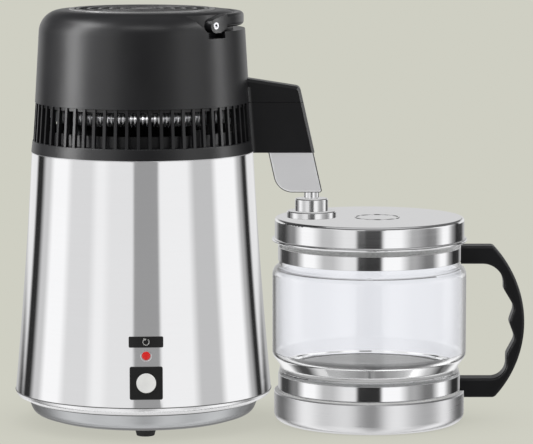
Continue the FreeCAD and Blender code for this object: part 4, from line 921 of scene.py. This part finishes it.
@dataclass
class Jug:
    """Glass, base, bands and handle."""

    glass: Finish = BlownGlass("jug_glass")
    # Cap and bands take painted shade along their sharp edges.
    cap: Finish = DrawnSteel("cap_steel", (0.80, 0.80, 0.81), 0.30, JUG_AXIS, depth=0.0000008, cloud=0.02,
                             edge=0.0005)
    bands: Finish = DrawnSteel("band_steel", (0.84, 0.84, 0.85), 0.08, JUG_AXIS, depth=0.0000003, cloud=0.02,
                               edge=0.0005)
    disc: Finish = DrawnSteel("disc_steel", (0.26, 0.26, 0.265), 0.4, JUG_AXIS)
    insert: Finish = MouldedPlastic("insert_plastic", (0.80, 0.80, 0.79), 0.4)
    grip: Finish = MouldedPlastic("grip_plastic", BLACK, 0.36, specular=0.14)

    def dress(self, parts: CadParts) -> None:
        """Put the finishes on.

        Args:
            parts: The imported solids.
        """
        parts.dress(self.glass, "jug_glass")
        parts.dress(self.cap, "jug_base_cap")
        parts.dress(self.bands, "upper_band", "lower_band")
        parts.dress(self.disc, "base_disc")
        parts.dress(self.insert, "base_insert")
        parts.dress(self.grip, "jug_handle")
        parts.dress(ZINC, "handle_screws")


@dataclass
class Lid:
    """Lid, plug, seal and filter cup."""

    # Lid and cup take painted shade along their sharp edges and in the lid's groove.
    shell: Finish = DrawnSteel("lid_steel", STEEL, 0.09, JUG_AXIS, depth=0.0000004, edge=0.0008)
    cup: Finish = DrawnSteel("cup_chrome", (0.80, 0.80, 0.81), 0.13, CUP_AXIS, depth=0.0000002, edge=0.0005)
    plug: Finish = MouldedPlastic("plug_plastic", (0.76, 0.76, 0.74), 0.45)

    def dress(self, parts: CadParts) -> None:
        """Put the finishes on.

        Args:
            parts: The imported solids.
        """
        parts.dress(self.shell, "lid_shell")
        parts.dress(self.cup, "filter_flange", "filter_collar")
        parts.dress(SILICONE, "lid_seal")
        parts.dress(self.plug, "lid_plug", "filter_pod", "pod_nut")


@dataclass(frozen=True)
class Panel:
    """A panel of the studio as the metal mirrors it, from the last panel's edge to its own.

    Attributes:
        until: The azimuth of its far edge, in degrees.
        level: Its brightness.
        soft: How wide the change to the next panel is, in degrees.
    """

    until: float
    level: float
    soft: float = 8.0


@dataclass(frozen=True)
class Lamp:
    """A soft rectangular light that faces the object. It is mirrored only in the pieces it is kept for.

    Attributes:
        name: The lamp's name.
        azimuth: Its direction from the boiler, in degrees.
        distance: How far away it hangs, in metres.
        height: How high it hangs, in metres.
        width: Its width in metres.
        tall: Its height in metres.
        level: Its brightness.
        kept_for: The pieces that it lights, or none for all of them.
    """

    name: str
    azimuth: float
    distance: float
    height: float
    width: float
    tall: float
    level: float
    kept_for: tuple[str, ...] = ()


PLASTICS = ("head_cover", "vent_ring", "top_grille", "carry_handle", "jug_handle", "switch_frame",
            "label_plate", "fan_rotor", "grille_screws", "handle_pins")
FINNED = ("condenser_fins", "condenser_tube")
HEAD_INSIDE = ("head_cover", "vent_ring", "top_grille", "head_tray", "condenser_tube", "condenser_fins",
               "air_spreader", "fan_rotor", "fan_motor", "motor_bracket")


@dataclass
class Studio:
    """Camera, floor, world and lamps. Azimuths are in degrees from the camera's side towards +X.

    Attributes:
        lens: The camera's focal length, in millimetres.
        sensor: The width of its sensor, in millimetres.
        reach: How far it sees, in metres.
        spot: Where it stands, in metres.
        pitch: How far it looks down, in degrees.
        floor_size: The floor's side, in metres.
        fibre: How fine the floor paper's fibres are.
        pale: Their lightest share of its colour.
        background: The colour of the backdrop and the floor.
        card: The card that shows through the glass from the floor up.
        high_card: What shows through it above the card.
        card_top: Where the one goes over into the other, as the height of the ray's direction.
        fill: The even light from all round.
        shadow: How dark the painted shadow makes the floor where the object stands on it.
        contact: How far from the object that shadow ends, in metres.
        horizon: Where low_walls go over into walls, as the height of a mirrored ray's direction.
        ground: Where they go over into the ground, likewise.
        ground_gain: How much of the walls the ground throws back.
        ground_lift: What it adds.
        sky: Where the walls go over into the sky, likewise.
        zenith: Where the sky changes, likewise.
        sky_levels: Its brightness before and after.
        ramp_top: The brightest level that the panels' ramp holds.
        aim_height: The height at which the lamps point, in metres.
        walls: The panels that level and rising rays meet.
        low_walls: The panels that falling rays meet.
        lamps: The lamps.
    """

    lens: float = 222.9
    sensor: float = 36.0
    reach: float = 60.0
    spot: tuple[float, float, float] = (BOILER_AXIS + 0.1101, -2.920, 0.525)
    pitch: float = 6.77
    floor_size: float = 40.0
    fibre: float = 60.0
    pale: float = 1.003
    background: Colour = (0.623, 0.623, 0.546)
    card: Colour = (0.88, 0.885, 0.915)
    high_card: Colour = (0.16, 0.16, 0.165)
    card_top: Span = (0.02, 0.10)
    fill: float = 0.60
    shadow: float = 0.18
    contact: float = 0.10
    horizon: Span = (-0.116, -0.094)
    ground: Span = (-0.22, -0.40)
    ground_gain: float = 0.95
    ground_lift: float = 0.04
    sky: Span = (0.16, 0.35)
    zenith: Span = (0.75, 0.90)
    sky_levels: Span = (0.15, 0.6)
    ramp_top: float = 2.0
    aim_height: float = 0.25
    walls: tuple[Panel, ...] = (
        Panel(-166, 0.70, 12), Panel(-136, 0.92, 6), Panel(-119, 0.03, 8), Panel(-104, 0.68),
        Panel(-78, 1.12), Panel(-48, 0.82), Panel(-34, 1.02), Panel(-7, 0.90, 2),
        Panel(18, 0.37, 2), Panel(52, 1.02), Panel(80, 0.62), Panel(114, 1.10),
        Panel(124, 0.50), Panel(137, 0.03, 6), Panel(166, 0.90), Panel(180, 0.70, 12))
    low_walls: tuple[Panel, ...] = (
        Panel(-152, 0.55, 14), Panel(-120, 0.06, 14), Panel(-98, 0.24, 14), Panel(-68, 1.12, 14),
        Panel(-40, 0.58, 16), Panel(-17, 0.90, 4), Panel(14, 0.03, 4), Panel(44, 1.12, 14),
        Panel(66, 0.45, 16), Panel(92, 0.20, 14), Panel(114, 1.10, 12), Panel(124, 0.30, 10),
        Panel(154, 0.03, 14), Panel(180, 0.50))
    lamps: tuple[Lamp, ...] = (
        Lamp("strip_left", -76.0, 1.1, 0.67, 0.38, 1.3, 18.0, PLASTICS),
        Lamp("strip_right", 92.0, 1.1, 0.67, 0.26, 1.3, 9.5, PLASTICS),
        Lamp("wide_left", -44.0, 1.6, 0.67, 0.9, 1.3, 2.4, PLASTICS),
        Lamp("wide_right", 52.0, 1.6, 0.67, 1.0, 1.3, 2.6, PLASTICS),
        Lamp("high_left", -80.0, 1.1, 1.5, 1.2, 0.35, 9.0, PLASTICS),
        Lamp("high_front", 0.0, 1.1, 1.5, 1.2, 0.35, 7.0, PLASTICS),
        Lamp("high_right", 80.0, 1.1, 1.5, 1.2, 0.35, 7.0, PLASTICS),
        Lamp("glint_front", 0.0, 2.0, 0.8, 0.8, 0.8, 7.0, FINNED),
        Lamp("key_left", -35.0, 2.2, 1.5, 1.2, 1.2, 3.0),
        Lamp("key_right", 35.0, 2.2, 1.5, 1.2, 1.2, 2.6))

    def build(self) -> None:
        """Set up everything that isn't part of the object."""
        self.camera()
        self.floor()
        self.world()
        for lamp in self.lamps:
            self.hang(lamp)
        bpy.context.scene.view_settings.view_transform = "Standard"

    def camera(self) -> None:
        """Place the camera."""
        data = bpy.data.cameras.new("camera")
        data.lens = self.lens
        data.sensor_width = self.sensor
        data.sensor_fit = "HORIZONTAL"
        data.clip_end = self.reach
        camera = bpy.data.objects.new("camera", data)
        camera.location = self.spot
        camera.rotation_euler = (math.radians(90.0 - self.pitch), 0.0, 0.0)
        bpy.context.scene.collection.objects.link(camera)
        bpy.context.scene.camera = camera

    def floor(self) -> None:
        """Lay a plain pale floor."""
        half = self.floor_size / 2
        mesh = bpy.data.meshes.new("floor")
        corners = [(-half, -half, 0), (half, -half, 0), (half, half, 0), (-half, half, 0)]
        mesh.from_pydata(corners, [], [(0, 1, 2, 3)])
        floor = bpy.data.objects.new("floor", mesh)
        bpy.context.scene.collection.objects.link(floor)
        mesh.materials.append(self.paper())

    def paper(self) -> bpy.types.Material:
        """Make the floor's paper. Its colour for the camera is darkened by ambient occlusion, a painted
        shadow where the object stands, and metal mirrors the studio through it.

        Returns:
            The material.
        """
        sheet = SurfaceSheet("floor_paper")
        fibre = sheet.noise(sheet.vector(*sheet.place()), self.fibre, detail=3.0)
        sheet.paint(sheet.shade(fibre, self.background, scaled(self.background, self.pale)))
        sheet.set(Roughness=0.9, Specular_IOR_Level=0.1)
        path = sheet.add("ShaderNodeLightPath")
        contact = sheet.add("ShaderNodeAmbientOcclusion", samples=8)
        contact.inputs["Distance"].default_value = self.contact
        seen = sheet.add("ShaderNodeEmission")
        colour = sheet.blend(path.outputs["Is Transmission Ray"], self.background, self.card)
        sheet.join(colour, seen.inputs["Color"])
        # Painted shadow: ambient occlusion darkens the floor's emission where the object stands.
        shade = sheet.fade(contact.outputs["AO"], 0.0, 1.0, 1.0 - self.shadow, 1.0)
        sheet.join(shade, seen.inputs["Strength"])
        clear = sheet.add("ShaderNodeBsdfTransparent")
        direct = sheet.math("MAXIMUM", path.outputs["Is Camera Ray"], path.outputs["Is Transmission Ray"])
        either = self.layer(sheet, direct, sheet.shader.outputs[0], seen.outputs[0])
        final = self.layer(sheet, path.outputs["Is Glossy Ray"], either, clear.outputs[0])
        sheet.join(final, sheet.tree.nodes["Material Output"].inputs["Surface"])
        sheet.material.cycles.emission_sampling = "NONE"
        return sheet.material

    def layer(self, sheet: SurfaceSheet, share: Socket, first: Socket, second: Socket) -> Socket:
        """Mix two shaders.

        Args:
            sheet: The material's nodes.
            share: How much of the second shader, from 0 to 1.
            first: A shader.
            second: A shader.

        Returns:
            The mixed shader.
        """
        node = sheet.add("ShaderNodeMixShader")
        for source, target in zip((share, first, second), node.inputs):
            sheet.join(source, target)
        return node.outputs[0]

    def mirrored(self, sheet: NodeSheet, turn: Socket, panels: tuple[Panel, ...]) -> Socket:
        """The panels round the object as a level that changes with the azimuth.

        Args:
            sheet: The world's nodes.
            turn: The azimuth, from 0 to 1 for the full turn.
            panels: The panels in order from behind, past the left side and the camera.

        Returns:
            The level as a value.
        """
        ramp = sheet.add("ShaderNodeValToRGB")
        stops = [(-180.0, panels[0].level)]
        for panel, following in zip(panels, panels[1:]):
            stops.append((panel.until - panel.soft / 2, panel.level))
            stops.append((panel.until + panel.soft / 2, following.level))
        stops.append((180.0, panels[-1].level))
        elements = ramp.color_ramp.elements
        for azimuth, _ in stops[1:-1]:
            elements.new(azimuth / 360.0 + 0.5)
        for element, (_, level) in zip(elements, stops):
            element.color = (*(level / self.ramp_top,) * 3, 1.0)
        sheet.join(turn, ramp.inputs["Fac"])
        return sheet.math("MULTIPLY", ramp.outputs["Color"], self.ramp_top)

    def world(self) -> None:
        """Plain backdrop for the camera, a pale card behind the glass, panels for metal, even fill light."""
        world = bpy.data.worlds.new("studio")
        bpy.context.scene.world = world
        world.use_nodes = True
        world.cycles.sampling_method = "NONE"
        sheet = NodeSheet(world.node_tree)
        path = sheet.add("ShaderNodeLightPath")
        coordinates = sheet.add("ShaderNodeTexCoord")
        parts = sheet.add("ShaderNodeSeparateXYZ")
        sheet.join(coordinates.outputs["Generated"], parts.inputs[0])
        x, y, z = parts.outputs
        azimuth = sheet.math("ARCTAN2", x, sheet.math("MULTIPLY", y, -1.0))
        turn = sheet.math("ADD", sheet.math("DIVIDE", azimuth, 2.0 * math.pi), 0.5)
        walls = self.mirrored(sheet, turn, self.walls)
        low_walls = self.mirrored(sheet, turn, self.low_walls)
        ground = sheet.math("ADD", sheet.math("MULTIPLY", walls, self.ground_gain), self.ground_lift)
        level = sheet.mix(sheet.fade(z, *self.horizon), low_walls, walls)
        level = sheet.mix(sheet.fade(z, *self.ground), level, ground)
        level = sheet.mix(sheet.fade(z, *self.sky), level, sheet.fade(z, *self.zenith, *self.sky_levels))
        studio = sheet.vector(level, level, level)
        colour = sheet.blend(path.outputs["Is Glossy Ray"], (self.fill,) * 3, studio)
        behind = sheet.blend(sheet.fade(z, *self.card_top), self.card, self.high_card)
        colour = sheet.blend(path.outputs["Is Transmission Ray"], colour, behind)
        colour = sheet.blend(path.outputs["Is Camera Ray"], colour, self.background)
        sheet.join(colour, sheet.tree.nodes["Background"].inputs["Color"])

    def hang(self, lamp: Lamp) -> None:
        """Hang a lamp.

        Args:
            lamp: Where it hangs, how bright it is and what mirrors it.
        """
        data = bpy.data.lights.new(lamp.name, "AREA")
        data.shape = "RECTANGLE"
        data.size = lamp.width
        data.size_y = lamp.tall
        data.energy = lamp.level * math.pi * lamp.width * lamp.tall
        light = bpy.data.objects.new(lamp.name, data)
        turn = math.radians(lamp.azimuth)
        light.location = (lamp.distance * math.sin(turn), -lamp.distance * math.cos(turn), lamp.height)
        aim = Vector((0.0, 0.0, min(lamp.height, self.aim_height))) - light.location
        light.rotation_euler = aim.to_track_quat("-Z", "Y").to_euler()
        light.visible_camera = False
        light.visible_transmission = False
        bpy.context.scene.collection.objects.link(light)
        if lamp.kept_for:
            receivers = bpy.data.collections.new(lamp.name + "_pieces")
            for name in lamp.kept_for:
                receivers.objects.link(frame["nodes"][name])
            light.light_linking.receiver_collection = receivers
        else:
            light.visible_glossy = False


def main() -> None:
    """Dress every sub-assembly and set up the studio."""
    logging.basicConfig(level=logging.INFO, format="%(message)s")
    parts = CadParts(frame["nodes"])
    for assembly in (Boiler(), Controls(), ResetMark(), Head(), Condenser(), Jug(), Lid()):
        log.info("%s", type(assembly).__name__)
        assembly.dress(parts)
    parts.calm(HEAD_INSIDE)
    Studio().build()


if __name__ == "__main__":
    main()
